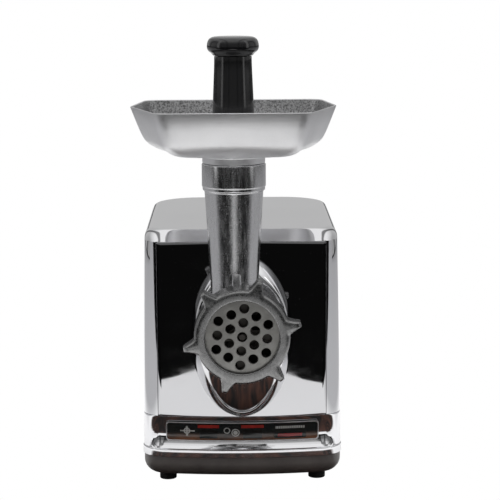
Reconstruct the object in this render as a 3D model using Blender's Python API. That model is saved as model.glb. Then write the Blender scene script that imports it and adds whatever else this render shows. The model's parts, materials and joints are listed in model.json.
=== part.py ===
"""Electric meat grinder: chromed housing, motor, three-stage gear train, auger head and hopper tray.

Lengths are in metres, +Z is up and the machine's front faces -Y. Shapes are drawn on the machine's
own axes: x across from the auger's axis, d back from the ring nut's front face, z up from the
table. place() moves them so that the world origin is the bottom centre of the machine's box.
"""
import math

import bmesh
import bpy
from mathutils import Matrix, Vector

MM = 0.001
FIT = 0.3 * MM                      # gap between two pieces that touch

# Housing
BODY_HALF_WIDTH = 81.2 * MM         # at the front band
BODY_TOP_HALF_WIDTH = BODY_HALF_WIDTH - 2.6 * MM   # where the shoulder starts
BODY_TOP = 210.9 * MM
BODY_REAR = 305.0 * MM
SHELL_WALL = 2.2 * MM
SHOULDER_RADIUS = 7.5 * MM
BEVEL_DEPTH = 10.0 * MM             # front bevel, front to back
FRONT_CORNER = 20.0 * MM
REAR_CORNER = 36.0 * MM
BOW_RADIUS = 355.0 * MM             # plan radius of the front, at the foot of the panel
FLAT_RADIUS = 50.0                  # plan radius of a front that is as good as straight

# Front panel, band and label
PANEL_EDGE = 84.0 * MM              # depth of the panel's upright edges
PANEL_HALF_WIDTH = BODY_HALF_WIDTH - 12.6 * MM
PANEL_FOOT = 58.8 * MM
PANEL_TOP = BODY_TOP - 9.1 * MM
PANEL_THICKNESS = 2.2 * MM
BAND_REAR = 104.0 * MM              # where the band ends on the side walls
BAND_SCOOP = 5.5 * MM               # depth of the band's hollow
BAND_SKEW = 0.75                    # below 1 the deepest place is nearer to the lip
BAND_FADE = 12.0 * MM               # length of the hollow's curved ends
BAND_FADE_GAP = 4.0 * MM            # how far past the label they start
BAND_THICKNESS = 2.0 * MM
LIP_TOP = 30.7 * MM
LIP_PROUD = 0.8 * MM
LABEL_HALF_LENGTH = PANEL_HALF_WIDTH - 6.4 * MM
LABEL_FOOT = 36.6 * MM
LABEL_HEIGHT = 16.8 * MM
LABEL_THICKNESS = 0.8 * MM

# Base pan and feet
PAN_TOP = 24.3 * MM
PAN_BOTTOM = 7.8 * MM
PAN_WALL = 2.5 * MM
PAN_FLOOR = 3.0 * MM
PAN_CORNER = 11.0 * MM              # rounding under the pan's edge
PAN_INSET = 0.2 * MM
FOOT_X = BODY_HALF_WIDTH - 19.4 * MM
FOOT_FRONT = 107.0 * MM
FOOT_REAR = BODY_REAR - 20.0 * MM
FOOT_RADIUS = 7.0 * MM
FOOT_STEM_RADIUS = 3.0 * MM
SCREW_X = BODY_HALF_WIDTH - 13.2 * MM
SCREW_FRONT = 126.0 * MM
SCREW_REAR = BODY_REAR - 43.0 * MM
SCREW_RADIUS = 1.7 * MM
SCREW_HEAD_RADIUS = 3.6 * MM
SCREW_HEAD_HEIGHT = 2.4 * MM
BOSS_RADIUS = 6.0 * MM

# Oval escutcheon
OVAL_MARGIN = 5.9 * MM              # width of the bulge beside its round mouth
OVAL_HALF_HEIGHT = 66.1 * MM
OVAL_Z = 125.5 * MM
OVAL_FRONT = 67.4 * MM              # the mouth's depth at its top, behind the feed tube
OVAL_SLANT = 24.0 * MM              # how much further forward the mouth is at its bottom
MOUTH_MARGIN = 1.9 * MM             # the mouth's outside beyond the bayonet socket
OVAL_WALL = 2.0 * MM
OVAL_SEAT = 4.0 * MM                # width of its flange on the panel

# Grinding head
AXIS_Z = 140.4 * MM
BARREL_BORE = 26.5 * MM
PLATE_RADIUS = BARREL_BORE + 4.5 * MM
BARREL_RADIUS = BARREL_BORE + 3.5 * MM
MOUTH_RADIUS = PLATE_RADIUS + FIT + 2.7 * MM     # outside of the threaded mouth
MOUTH_FRONT = 4.0 * MM
REAR_WALL_FRONT = 72.0 * MM
REAR_WALL_REAR = 78.0 * MM
TAIL_RADIUS = BARREL_RADIUS - 3.0 * MM
TAIL_BORE = TAIL_RADIUS - 10.0 * MM
PLATE_THICKNESS = 5.0 * MM
PLATE_HOLE_RADIUS = 3.65 * MM
PLATE_PITCH = 11.1 * MM
PLATE_TURN = math.radians(85.6)     # turn of the hole pattern
NUT_RADIUS = MOUTH_RADIUS + FIT + 2.7 * MM
NUT_DEPTH = 26.0 * MM
NUT_LIP = 3.0 * MM
NUT_OPENING = PLATE_RADIUS - 2.5 * MM
LUG_COUNT = 6
LUG_TIP = NUT_RADIUS + 9.2 * MM
LUG_TURN = math.radians(12.0)
LUG_BASE_HALF_ANGLE = math.radians(9.5)
LUG_TIP_HALF_WIDTH = 2.5 * MM
LUG_DEPTH = 17.0 * MM
BLADE_RADIUS = BARREL_BORE - 0.9 * MM
BLADE_THICKNESS = 5.5 * MM
BLADE_SQUARE = 4.4 * MM             # half side of the auger's square
PIN_RADIUS = 2.3 * MM
PIN_PROUD = 0.8 * MM
FLIGHT_RADIUS = BARREL_BORE - 0.7 * MM
FLIGHT_PITCH = 19.0 * MM
JOURNAL_RADIUS = 10.0 * MM
WASHER_RADIUS = 20.0 * MM
WASHER_THICKNESS = 1.3 * MM

# Bayonet and lock
LUG_HALF_ANGLE = math.radians(14.0)
BAYONET_TURN = math.radians(40.0)
BAYONET_LUG = TAIL_RADIUS + 3.0 * MM
BAYONET_FRONT = 79.5 * MM
BAYONET_REAR = 84.2 * MM
SOCKET_FRONT = 70.0 * MM
SOCKET_BACK = 87.0 * MM
SOCKET_RADIUS = BAYONET_LUG + 3.5 * MM
SOCKET_HOLE = 15.0 * MM
LOCK_THICKNESS = 2.0 * MM
LOCK_HALF_HEIGHT = 9.0 * MM
LOCK_TRAVEL = 4.0 * MM
LOCK_PIN_RADIUS = 2.2 * MM
LOCK_PIN_X = -(BAYONET_LUG - 1.4 * MM)
LOCK_FLANGE_X = BODY_TOP_HALF_WIDTH - 24.6 * MM
RELEASE_D = 116.0 * MM
RELEASE_RADIUS = 8.0 * MM

# Feed tube, tray and pusher
FEED_X = -5.5 * MM                  # the tube stands off the auger's axis
FEED_D = 48.0 * MM
COLLAR_TOP = 270.0 * MM
COLLAR_FOOT = COLLAR_TOP - 18.1 * MM
COLLAR_RADIUS = 25.0 * MM
STEP_FOOT = COLLAR_FOOT - 3.1 * MM
TUBE_TOP_RADIUS = COLLAR_RADIUS - 2.0 * MM
TUBE_FOOT_RADIUS = 18.8 * MM
TUBE_FOOT = 160.0 * MM
TUBE_TAPER_END = 177.0 * MM
TUBE_WALL = 2.6 * MM
SPIGOT_RADIUS = COLLAR_RADIUS - 3.3 * MM
SPIGOT_LENGTH = 12.0 * MM
SPIGOT_WALL = 1.4 * MM
NECK_RADIUS = COLLAR_RADIUS - 0.5 * MM
NECK_HEIGHT = 4.0 * MM
TRAY_TOP = COLLAR_TOP + 44.3 * MM
TRAY_WALL = 1.4 * MM
TRAY_BACK_HALF = 71.1 * MM
TRAY_BACK = 116.0 * MM
TRAY_WIDE_HALF = 80.2 * MM
TRAY_FRONT_HALF = 58.3 * MM
TRAY_FRONT = -24.6 * MM
TRAY_CORNER = 13.0 * MM
SHOULDER_Z = COLLAR_TOP + 8.1 * MM  # top of the tray's floor round its hole
DISH_RADIUS = NECK_RADIUS + 12.0 * MM
DISH_RISE = 6.7 * MM                # height of the dished floor's edge over the collar, outside
BENDS = ((9.6, 24.0), (15.5, 13.0), (22.0, 8.5))   # the wall's bends: height over the collar, inset
PUSHER_SHOULDER_RADIUS = SPIGOT_RADIUS + FIT
PUSHER_SHOULDER_HEIGHT = 3.0 * MM
PUSHER_TIP = AXIS_Z + 47.6 * MM
PUSHER_TIP_RADIUS = TUBE_FOOT_RADIUS - TUBE_WALL - 2 * FIT
PUSHER_THROAT_RADIUS = SPIGOT_RADIUS - SPIGOT_WALL - 1.3 * MM
PUSHER_FLOOR_RADIUS = 17.5 * MM
PUSHER_RIM_RADIUS = 16.15 * MM
PUSHER_NECK_RADIUS = 14.55 * MM
PUSHER_NECK = COLLAR_TOP + 83.0 * MM
PUSHER_WALL = 2.6 * MM
CAP_RADIUS = 20.25 * MM
CAP_TOP = PUSHER_NECK + 15.0 * MM
CAP_PLUG = 10.0 * MM

# Gear train: teeth and module of each stage, and the way from one shaft to the next
PRESSURE_ANGLE = math.radians(25.0)
ADDENDUM = 0.8
DEDENDUM = 1.05
BACKLASH = 0.18                     # thinning of each tooth, in modules
FEW_TEETH = 20                      # below this a flank is curved enough to need a middle point
OUTPUT_TEETH = 36
OUTPUT_PINION_TEETH = 11
OUTPUT_MODULE = 1.75 * MM
MIDDLE_TEETH = 36
MIDDLE_PINION_TEETH = 11
MIDDLE_MODULE = 1.25 * MM
FIRST_TEETH = 36
MOTOR_PINION_TEETH = 10
FIRST_MODULE = 1.0 * MM
TO_SECOND = math.radians(217.0)
TO_FIRST = math.radians(285.0)
TO_MOTOR = math.radians(15.0)
CASE_WALL = 3.5 * MM
CASE_MARGIN = 4.5 * MM
OUTPUT_FACE = 11.0 * MM             # width of each stage's teeth
MIDDLE_FACE = 8.0 * MM
FIRST_FACE = 6.0 * MM
STAGE_GAP = 2.0 * MM
AXLE_RADIUS = 3.0 * MM
HUB_RADIUS = 6.0 * MM
OUTPUT_SHAFT_RADIUS = 12.0 * MM
OUTPUT_BEARING_RADIUS = 18.0 * MM
OUTPUT_BEARING_WIDTH = 8.0 * MM
DRIVE_HEX = 8.0 * MM                # half the width across flats of the coupling
TAIL_HEX = 5.0 * MM                 # the same, of the auger's tail

# Motor
MOTOR_SHAFT_RADIUS = 3.5 * MM
MOTOR_BEARING_RADIUS = 11.0 * MM
BEARING_WIDTH = 7.0 * MM
BRACKET_THICKNESS = 3.0 * MM
CORE_HALF_WIDTH = 40.0 * MM
CORE_HALF_HEIGHT = 35.0 * MM
CORE_LENGTH = 48.0 * MM
ROTOR_RADIUS = 22.0 * MM
ROTOR_GAP = 1.0 * MM
COIL_WIRE_RADIUS = 3.4 * MM
COIL_SEAT_RADIUS = 27.2 * MM
COIL_OVERHANG = 7.0 * MM
FAN_RADIUS = 27.0 * MM
FAN_WIDTH = 7.0 * MM
FAN_BLADES = 9
COMMUTATOR_RADIUS = 12.0 * MM
COMMUTATOR_LENGTH = 15.0 * MM
POST_RADIUS = 4.0 * MM

# Controls, vent, gland and board
CONTROL_D = 164.0 * MM
CONTROL_Z = 150.0 * MM
CONTROL_HALF_LENGTH = 30.0 * MM
CONTROL_HALF_HEIGHT = 13.0 * MM
CONTROL_THICKNESS = 2.0 * MM
BUTTON_SPREAD = 14.0 * MM
POWER_RADIUS = 8.0 * MM
REVERSE_RADIUS = 6.0 * MM
BUTTON_TRAVEL = 3.0 * MM
BUTTON_FLANGE = 1.3 * MM
SWITCH_DEPTH = 22.0 * MM
SWITCH_POCKET = 8.0 * MM
VENT_HALF_WIDTH = 36.0 * MM
VENT_Z = 132.0 * MM
VENT_HALF_HEIGHT = 24.0 * MM
VENT_THICKNESS = 2.4 * MM
VENT_SLOTS = 7
GLAND_Z = 44.0 * MM
GLAND_X = 30.0 * MM
GLAND_RADIUS = 7.0 * MM
GLAND_FLANGE_RADIUS = 10.0 * MM
GLAND_PROUD = 7.0 * MM
CORD_RADIUS = 3.6 * MM
BOARD_HALF_WIDTH = 26.0 * MM
BOARD_LENGTH = 44.0 * MM
BOARD_D = BODY_REAR - 59.0 * MM
BOARD_Z = 32.0 * MM
BOARD_THICKNESS = 1.6 * MM

BARREL_ROUND = 28                   # sides of the barrel and its plate
ROUND = 20                          # sides of a large turned piece
SMALL_ROUND = 10                    # sides of a small one
BOW_STEPS = 8                       # sides of the housing's bowed front
CORNER_STEPS = 4                    # sides of each of its corners
TINY_ROUND = 8                      # sides of a pin or post

# Places that follow from the sizes above
OVAL_MOUTH = SOCKET_RADIUS + MOUTH_MARGIN
OVAL_HALF_WIDTH = OVAL_MOUTH + OVAL_MARGIN
MOUTH_REAR = NUT_DEPTH + 2.0 * MM
BARREL_STEP = SOCKET_FRONT - FIT    # shoulder that meets the socket
PAN_HALF_WIDTH = BODY_HALF_WIDTH + LIP_PROUD
MACHINE_X = (TRAY_WIDE_HALF - FEED_X - PAN_HALF_WIDTH) / 2
MACHINE_Y = -(TRAY_FRONT + BODY_REAR + GLAND_PROUD) / 2
LOCK_FRONT = SOCKET_BACK + FIT
CASE_FRONT = LOCK_FRONT + LOCK_THICKNESS + FIT
BEARING_FRONT = CASE_FRONT + CASE_WALL + FIT
OUTPUT_FRONT = BEARING_FRONT + OUTPUT_BEARING_WIDTH + STAGE_GAP
MIDDLE_FRONT = OUTPUT_FRONT + OUTPUT_FACE + STAGE_GAP
FIRST_FRONT = MIDDLE_FRONT + MIDDLE_FACE + STAGE_GAP
COVER_FRONT = FIRST_FRONT + FIRST_FACE + STAGE_GAP
COVER_REAR = COVER_FRONT + CASE_WALL
SHAFT_FRONT = SOCKET_BACK - 1.5 * MM
BRACKET_FRONT = COVER_REAR + 3.0 * MM
FAN_FRONT = BRACKET_FRONT + BEARING_WIDTH + 1.5 * MM
CORE_FRONT = FAN_FRONT + FAN_WIDTH + COIL_OVERHANG + 2 * COIL_WIRE_RADIUS + 1.0 * MM
CORE_REAR = CORE_FRONT + CORE_LENGTH
COMMUTATOR_FRONT = CORE_REAR + COIL_OVERHANG + 2 * COIL_WIRE_RADIUS + 1.0 * MM
REAR_BRACKET_FRONT = COMMUTATOR_FRONT + COMMUTATOR_LENGTH + 5.0 * MM
SHAFT_REAR = REAR_BRACKET_FRONT + BEARING_WIDTH
PLATE_FRONT = NUT_LIP + FIT
PLATE_REAR = PLATE_FRONT + PLATE_THICKNESS
BLADE_FRONT = PLATE_REAR + FIT
BLADE_REAR = BLADE_FRONT + BLADE_THICKNESS
FLIGHT_FRONT = BLADE_REAR + 4.3 * MM
FLIGHT_REAR = REAR_WALL_FRONT - 5.4 * MM
CONTROL_FACE = BODY_TOP_HALF_WIDTH + 0.6 * MM
VENT_REAR = BODY_REAR - 0.8 * MM


def polar(centre, radius, angle):
    """The point at a radius and an angle round a centre, both in the plane of x and z."""
    return (centre[0] + radius * math.cos(angle), centre[1] + radius * math.sin(angle))


def stage_distance(module, teeth, pinion_teeth):
    return module * (teeth + pinion_teeth) / 2


AUGER_AXIS = (0.0, AXIS_Z)
SECOND_AXIS = polar(AUGER_AXIS, stage_distance(OUTPUT_MODULE, OUTPUT_TEETH, OUTPUT_PINION_TEETH),
                    TO_SECOND)
FIRST_AXIS = polar(SECOND_AXIS, stage_distance(MIDDLE_MODULE, MIDDLE_TEETH, MIDDLE_PINION_TEETH),
                   TO_FIRST)
MOTOR_AXIS = polar(FIRST_AXIS, stage_distance(FIRST_MODULE, FIRST_TEETH, MOTOR_PINION_TEETH),
                   TO_MOTOR)
CORE_BOTTOM = MOTOR_AXIS[1] - CORE_HALF_HEIGHT


# Building blocks ------------------------------------------------------------------------------

def clear_scene():
    for obj in list(bpy.data.objects):
        bpy.data.objects.remove(obj, do_unlink=True)


def place(x, d, z):
    """World position of a point on the machine's own axes."""
    return Vector((MACHINE_X + x, MACHINE_Y + d, z))


def finish(name, colour, roughness, metallic):
    """A material with one Principled shader, made once."""
    found = bpy.data.materials.get(name)
    if found:
        return found
    made = bpy.data.materials.new(name)
    made.use_nodes = True
    shader = made.node_tree.nodes["Principled BSDF"]
    shader.inputs["Base Color"].default_value = (*colour, 1.0)
    shader.inputs["Roughness"].default_value = roughness
    shader.inputs["Metallic"].default_value = metallic
    made.diffuse_color = (*colour, 1.0)
    return made


def chrome():
    return finish("chrome", (0.80, 0.80, 0.82), 0.08, 1.0)


def black_mirror():
    return finish("black_mirror", (0.05, 0.05, 0.06), 0.05, 0.9)


def label_black():
    return finish("label_black", (0.015, 0.018, 0.018), 0.25, 0.0)


def dark_plastic():
    return finish("dark_plastic", (0.075, 0.065, 0.060), 0.45, 0.0)


def black_gloss():
    return finish("black_gloss", (0.012, 0.012, 0.013), 0.18, 0.0)


def black_plastic():
    return finish("black_plastic", (0.03, 0.03, 0.03), 0.5, 0.0)


def rubber():
    return finish("rubber", (0.02, 0.02, 0.02), 0.8, 0.0)


def cast_metal():
    return finish("cast_metal", (0.52, 0.52, 0.53), 0.28, 1.0)


def tray_metal():
    return finish("tray_metal", (0.66, 0.66, 0.67), 0.32, 1.0)


def steel():
    return finish("steel", (0.48, 0.47, 0.45), 0.30, 1.0)


def lamination():
    return finish("lamination", (0.25, 0.25, 0.27), 0.45, 1.0)


def copper():
    return finish("copper", (0.70, 0.33, 0.16), 0.35, 1.0)


def nylon():
    return finish("nylon", (0.80, 0.78, 0.72), 0.55, 0.0)


def board_green():
    return finish("board_green", (0.03, 0.16, 0.07), 0.4, 0.0)


def pivot(name, x, d, z, parent=None):
    """An empty on a joint's axis, which the moving pieces hang from."""
    empty = bpy.data.objects.new(name, None)
    empty.empty_display_size = 0.01
    bpy.context.collection.objects.link(empty)
    world = place(x, d, z)
    empty["world"] = world
    empty.location = world - Vector(parent["world"]) if parent else world
    empty.parent = parent
    return empty


def piece(name, bm, material, parent=None):
    """A named object from a mesh on the machine's own axes. Its origin is its parent's."""
    mesh = bpy.data.meshes.new(name)
    origin = Vector(parent["world"]) if parent else Vector((0.0, 0.0, 0.0))
    bmesh.ops.translate(bm, verts=bm.verts, vec=place(0.0, 0.0, 0.0) - origin)
    bm.to_mesh(mesh)
    bm.free()
    mesh.materials.append(material)
    mesh.shade_smooth()
    mesh.set_sharp_from_angle(angle=math.radians(30.0))
    obj = bpy.data.objects.new(name, mesh)
    bpy.context.collection.objects.link(obj)
    obj.parent = parent
    return obj


def combine(obj, bm, operation):
    """Adds a Boolean modifier whose helper object stays out of renders."""
    number = len(obj.modifiers) + 1
    helper = piece(f"{obj.name}_{operation.lower()}_{number}", bm, obj.data.materials[0], obj.parent)
    helper.hide_render = True
    helper.display_type = "WIRE"
    modifier = obj.modifiers.new(f"{operation.lower()}_{number}", "BOOLEAN")
    modifier.operation = operation
    modifier.solver = "EXACT"
    modifier.object = helper


def cut(obj, bm):
    combine(obj, bm, "DIFFERENCE")


def fuse(obj, bm):
    combine(obj, bm, "UNION")


def merged(meshes):
    """One mesh that holds several separate ones."""
    whole = bmesh.new()
    for bm in meshes:
        spare = bpy.data.meshes.new("spare")
        bm.to_mesh(spare)
        bm.free()
        whole.from_mesh(spare)
        bpy.data.meshes.remove(spare)
    return whole


def turned(profile, axis, centre, steps=ROUND):
    """A solid of revolution: (radius, along) points spun about an axis through centre.

    The outline closes by itself, or runs from axis to axis when its first radius is zero.
    """
    way = Vector((0.0, 1.0, 0.0)) if axis == "Y" else Vector((0.0, 0.0, 1.0))
    middle = Vector(centre)
    bm = bmesh.new()
    points = [bm.verts.new(middle + Vector((radius, 0.0, 0.0)) + way * along) for radius, along in profile]
    edges = [bm.edges.new(pair) for pair in zip(points, points[1:])]
    if profile[0][0] > 0.0:
        edges.append(bm.edges.new((points[-1], points[0])))
    bmesh.ops.spin(bm, geom=points + edges, cent=middle, axis=way, angle=2 * math.pi, steps=steps,
                   use_merge=True)
    bmesh.ops.remove_doubles(bm, verts=bm.verts, dist=1e-7)
    bmesh.ops.recalc_face_normals(bm, faces=bm.faces)
    return bm


def rod(radius, front, rear, axis, steps=SMALL_ROUND):
    """A round bar along the machine's depth, about an (x, z) axis."""
    return turned([(0.0, front), (radius, front), (radius, rear), (0.0, rear)], "Y",
                  (axis[0], 0.0, axis[1]), steps)


def ring(outer, inner, front, rear, axis, steps=ROUND):
    """A flat-ended tube along the machine's depth."""
    return turned([(outer, front), (outer, rear), (inner, rear), (inner, front)], "Y",
                  (axis[0], 0.0, axis[1]), steps)


def upright(radius, low, high, x, d, steps=SMALL_ROUND):
    return turned([(0.0, low), (radius, low), (radius, high), (0.0, high)], "Z", (x, d, 0.0), steps)


def block(x_range, d_range, z_range):
    low = Vector((x_range[0], d_range[0], z_range[0]))
    high = Vector((x_range[1], d_range[1], z_range[1]))
    bm = bmesh.new()
    bmesh.ops.create_cube(bm, size=1.0)
    bmesh.ops.scale(bm, verts=bm.verts, vec=high - low)
    bmesh.ops.translate(bm, verts=bm.verts, vec=(low + high) / 2)
    return bm


def prism(outline, front, rear):
    """An outline in x and z, extruded from front to rear."""
    bm = bmesh.new()
    face = bm.faces.new([bm.verts.new((x, front, z)) for x, z in outline])
    grown = bmesh.ops.extrude_face_region(bm, geom=[face])["geom"]
    moved = [item for item in grown if isinstance(item, bmesh.types.BMVert)]
    bmesh.ops.translate(bm, verts=moved, vec=(0.0, rear - front, 0.0))
    bmesh.ops.recalc_face_normals(bm, faces=bm.faces)
    return bm


def arc(centre, radius, start, end, steps):
    """Points along an arc, both ends included."""
    return [polar(centre, radius, start + (end - start) * i / steps) for i in range(steps + 1)]


def rounded_rectangle(half_width, half_height, radius, centre=(0.0, 0.0), steps=4):
    points = []
    for corner in range(4):
        angle = corner * math.pi / 2
        side_x = 1 if corner in (0, 3) else -1
        side_z = 1 if corner in (0, 1) else -1
        middle = (centre[0] + side_x * (half_width - radius), centre[1] + side_z * (half_height - radius))
        points += arc(middle, radius, angle, angle + math.pi / 2, steps)
    return points


def hexagon(half_flats, axis):
    return [polar(axis, half_flats / math.cos(math.pi / 6), math.pi / 6 + i * math.pi / 3) for i in range(6)]


def skin(rings, closed):
    """Faces between rings of equal length. Closed joins the last ring to the first, else both are capped."""
    bm = bmesh.new()
    loops = [[bm.verts.new(point) for point in points] for points in rings]
    pairs = list(zip(loops, loops[1:]))
    if closed:
        pairs.append((loops[-1], loops[0]))
    for near, far in pairs:
        for i in range(len(near)):
            j = (i + 1) % len(near)
            bm.faces.new((near[i], near[j], far[j], far[i]))
    if not closed:
        bm.faces.new(loops[0])
        bm.faces.new(loops[-1])
    bmesh.ops.recalc_face_normals(bm, faces=bm.faces)
    return bm


def cup(outer, inner):
    """A shell open at its first rings, where a rim joins them, and capped at its last rings."""
    return skin(list(reversed(outer)) + inner, closed=False)


# Housing --------------------------------------------------------------------------------------

def panel_share(z):
    """0 at the foot of the front panel and below, 1 at its top and above."""
    return min(max((z - PANEL_FOOT) / (PANEL_TOP - PANEL_FOOT), 0.0), 1.0)


def bow_radius(z):
    """The front is bowed at its foot and straight at its top."""
    return 1.0 / ((1.0 - panel_share(z)) / BOW_RADIUS + 1.0 / FLAT_RADIUS)


def front_depth(x, z):
    """Depth of the front face at x, from an arc whose panel edges stay at one depth."""
    radius = bow_radius(z)
    return PANEL_EDGE + math.sqrt(radius**2 - PANEL_HALF_WIDTH**2) - math.sqrt(radius**2 - x**2)


def body_plan(z, inset=0.0):
    """Closed plan of the housing at a height, moved inwards by inset."""
    above_foot = max(z - (BODY_TOP - SHOULDER_RADIUS), 0.0)
    lean = SHOULDER_RADIUS - math.sqrt(max(SHOULDER_RADIUS**2 - above_foot**2, 0.0))
    bevel = max(z - PANEL_TOP, 0.0) * BEVEL_DEPTH / (BODY_TOP - PANEL_TOP)
    width = BODY_HALF_WIDTH + (BODY_TOP_HALF_WIDTH - BODY_HALF_WIDTH) * panel_share(z) - lean - inset
    rear = BODY_REAR - lean - inset
    front = front_depth(0.0, z) + bevel + inset
    bow = bow_radius(z) - inset
    corner = FRONT_CORNER - inset
    back_corner = REAR_CORNER - inset
    slope = math.asin((width - corner) / (bow - corner))
    corner_d = front + bow - (bow - corner) * math.cos(slope)
    down = -math.pi / 2
    points = arc((0.0, front + bow), bow, down - slope, down + slope, BOW_STEPS)
    points += arc((width - corner, corner_d), corner, down + slope, 0.0, CORNER_STEPS)[1:]
    points += arc((width - back_corner, rear - back_corner), back_corner, 0.0, math.pi / 2, CORNER_STEPS)
    points += arc((back_corner - width, rear - back_corner), back_corner, math.pi / 2, math.pi, CORNER_STEPS)
    points += arc((corner - width, corner_d), corner, math.pi, 2 * math.pi + down - slope, CORNER_STEPS)[:-1]
    return points


def body_ring(z, inset=0.0):
    return [(x, d, z) for x, d in body_plan(z, inset)]


def shoulder_levels(count, top):
    """Heights up the shoulder's quarter circle, closer together near the top."""
    foot = BODY_TOP - SHOULDER_RADIUS
    rise = top - foot
    return [foot + rise * math.sin(math.pi / 2 * i / count) for i in range(count + 1)]


def housing_shell():
    foot = PAN_TOP + FIT
    straight = [foot, PANEL_FOOT, (PANEL_FOOT + PANEL_TOP) / 2, PANEL_TOP]
    outer = [body_ring(z) for z in straight + shoulder_levels(4, BODY_TOP)]
    inner = [body_ring(z, SHELL_WALL) for z in straight + shoulder_levels(2, BODY_TOP - SHELL_WALL)]
    obj = piece("housing_shell", cup(outer, inner), chrome())
    edge = PANEL_HALF_WIDTH + FIT
    window = block((-edge, edge), (0.0, PANEL_EDGE + 12 * MM), (PANEL_FOOT - FIT, PANEL_TOP + FIT))
    cut(obj, window)
    wide = BODY_HALF_WIDTH * 1.2
    cut(obj, block((-wide, wide), (0.0, BAND_REAR + FIT), (0.0, PANEL_FOOT)))
    posts = []
    for side in (-1, 1):
        for d in (SCREW_FRONT, SCREW_REAR):
            inside = side * (SCREW_X - BOSS_RADIUS)
            outside = side * (BODY_HALF_WIDTH - SHELL_WALL / 2)
            span = (min(inside, outside), max(inside, outside))
            posts.append(block(span, (d - BOSS_RADIUS, d + BOSS_RADIUS),
                               (PAN_TOP + 2 * MM, PAN_TOP + 20 * MM)))
    fuse(obj, merged(posts))
    cut(obj, merged([upright(SCREW_RADIUS + FIT, 0.0, PAN_TOP + 16 * MM, side * SCREW_X, d)
                     for side in (-1, 1) for d in (SCREW_FRONT, SCREW_REAR)]))
    reach = BODY_HALF_WIDTH * 1.1
    cut(obj, block((CONTROL_FACE - 8 * MM, reach),
                   (CONTROL_D - CONTROL_HALF_LENGTH - FIT, CONTROL_D + CONTROL_HALF_LENGTH + FIT),
                   (CONTROL_Z - CONTROL_HALF_HEIGHT - FIT, CONTROL_Z + CONTROL_HALF_HEIGHT + FIT)))
    cut(obj, sideways_rod(RELEASE_RADIUS + FIT, CONTROL_FACE - 8 * MM, reach, RELEASE_D, AXIS_Z))
    cut(obj, block((-VENT_HALF_WIDTH - FIT, VENT_HALF_WIDTH + FIT), (BODY_REAR - 8 * MM, BODY_REAR + 8 * MM),
                   (VENT_Z - VENT_HALF_HEIGHT - FIT, VENT_Z + VENT_HALF_HEIGHT + FIT)))
    cut(obj, rod(GLAND_RADIUS + FIT, BODY_REAR - 8 * MM, BODY_REAR + 8 * MM, (GLAND_X, GLAND_Z)))


def sideways_rod(radius, left, right, d, z, steps=SMALL_ROUND):
    """A round bar across the machine."""
    bm = turned([(0.0, left), (radius, left), (radius, right), (0.0, right)], "Z", (0.0, 0.0, 0.0), steps)
    bmesh.ops.rotate(bm, verts=bm.verts, cent=(0, 0, 0), matrix=Matrix.Rotation(math.pi / 2, 3, "Y"))
    bmesh.ops.translate(bm, verts=bm.verts, vec=(0.0, d, z))
    return bm


def front_sheet(half_width, levels, offset, thickness, steps=12):
    """A sheet that follows the front face: offset(z) forward of it, with its back thickness behind."""
    across = [half_width * (2 * i / steps - 1) for i in range(steps + 1)]
    rings = []
    for z in levels:
        face = [(x, front_depth(x, z) - offset(z), z) for x in across]
        back = [(x, d + thickness, z) for x, d, z in reversed(face)]
        rings.append(face + back)
    return skin(rings, closed=False)


def oval(half_width, half_height, centre_z, steps=ROUND):
    return [(half_width * math.cos(2 * math.pi * i / steps),
             centre_z + half_height * math.sin(2 * math.pi * i / steps)) for i in range(steps)]


def front_panel():
    levels = [PANEL_FOOT + FIT / 2, (PANEL_FOOT + PANEL_TOP) / 2, PANEL_TOP]
    sheet = front_sheet(PANEL_HALF_WIDTH, levels, lambda z: 0.0, PANEL_THICKNESS)
    obj = piece("front_panel", sheet, black_mirror())
    hole = oval(OVAL_HALF_WIDTH - OVAL_SEAT, OVAL_HALF_HEIGHT - OVAL_SEAT, OVAL_Z)
    cut(obj, prism(hole, 0.0, PANEL_EDGE * 2))


def mouth_depth(up):
    """Depth of the bulge's mouth, from up = -1 at its bottom to 1 at its top. The bottom stands forward."""
    share = min(max((0.3 - up) / 1.2, 0.0), 1.0)
    return OVAL_FRONT - OVAL_SLANT * share**2 * (3 - 2 * share)


def socket_escutcheon():
    """The bulge goes from an oval foot on the panel to a round mouth round the barrel."""
    bore = BARREL_RADIUS + 3 * FIT

    def level(share, inset, front_shift):
        """A ring between the foot, share 0, and the mouth, share 1."""
        half_width = OVAL_HALF_WIDTH + (OVAL_MOUTH - OVAL_HALF_WIDTH) * share - inset
        half_height = OVAL_HALF_HEIGHT + (OVAL_MOUTH - OVAL_HALF_HEIGHT) * share - inset
        centre = OVAL_Z + (AXIS_Z - OVAL_Z) * share
        rise = math.sin(share * math.pi / 2) ** 0.7
        points = []
        for x, z in oval(half_width, half_height, centre):
            seat = front_depth(x, z) - FIT
            front = mouth_depth((z - centre) / half_height)
            points.append((x, seat + (front - seat) * rise + front_shift * rise, z))
        return points

    def mouth_ring(behind):
        return [(x, mouth_depth((z - AXIS_Z) / bore) + behind, z) for x, z in oval(bore, bore, AXIS_Z)]

    shares = [0.0, 0.08, 0.2, 0.38, 0.6, 0.82, 1.0]
    outer = [level(share, 0.0, 0.0) for share in shares]
    inner = [level(share, OVAL_WALL, OVAL_WALL) for share in (0.82, 0.6, 0.38, 0.2, 0.08, 0.0)]
    mouth = [mouth_ring(0.0), mouth_ring(OVAL_WALL)]
    piece("socket_escutcheon", skin(outer + mouth + inner, closed=True), chrome())


def band_offset(z):
    """How far the band stands forward of the housing's plan: a lip, then a shallow hollow."""
    if z <= LIP_TOP:
        return LIP_PROUD
    share = (z - LIP_TOP) / (PANEL_FOOT - LIP_TOP)
    return -BAND_SCOOP * math.sin(math.pi * share**BAND_SKEW)


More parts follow.
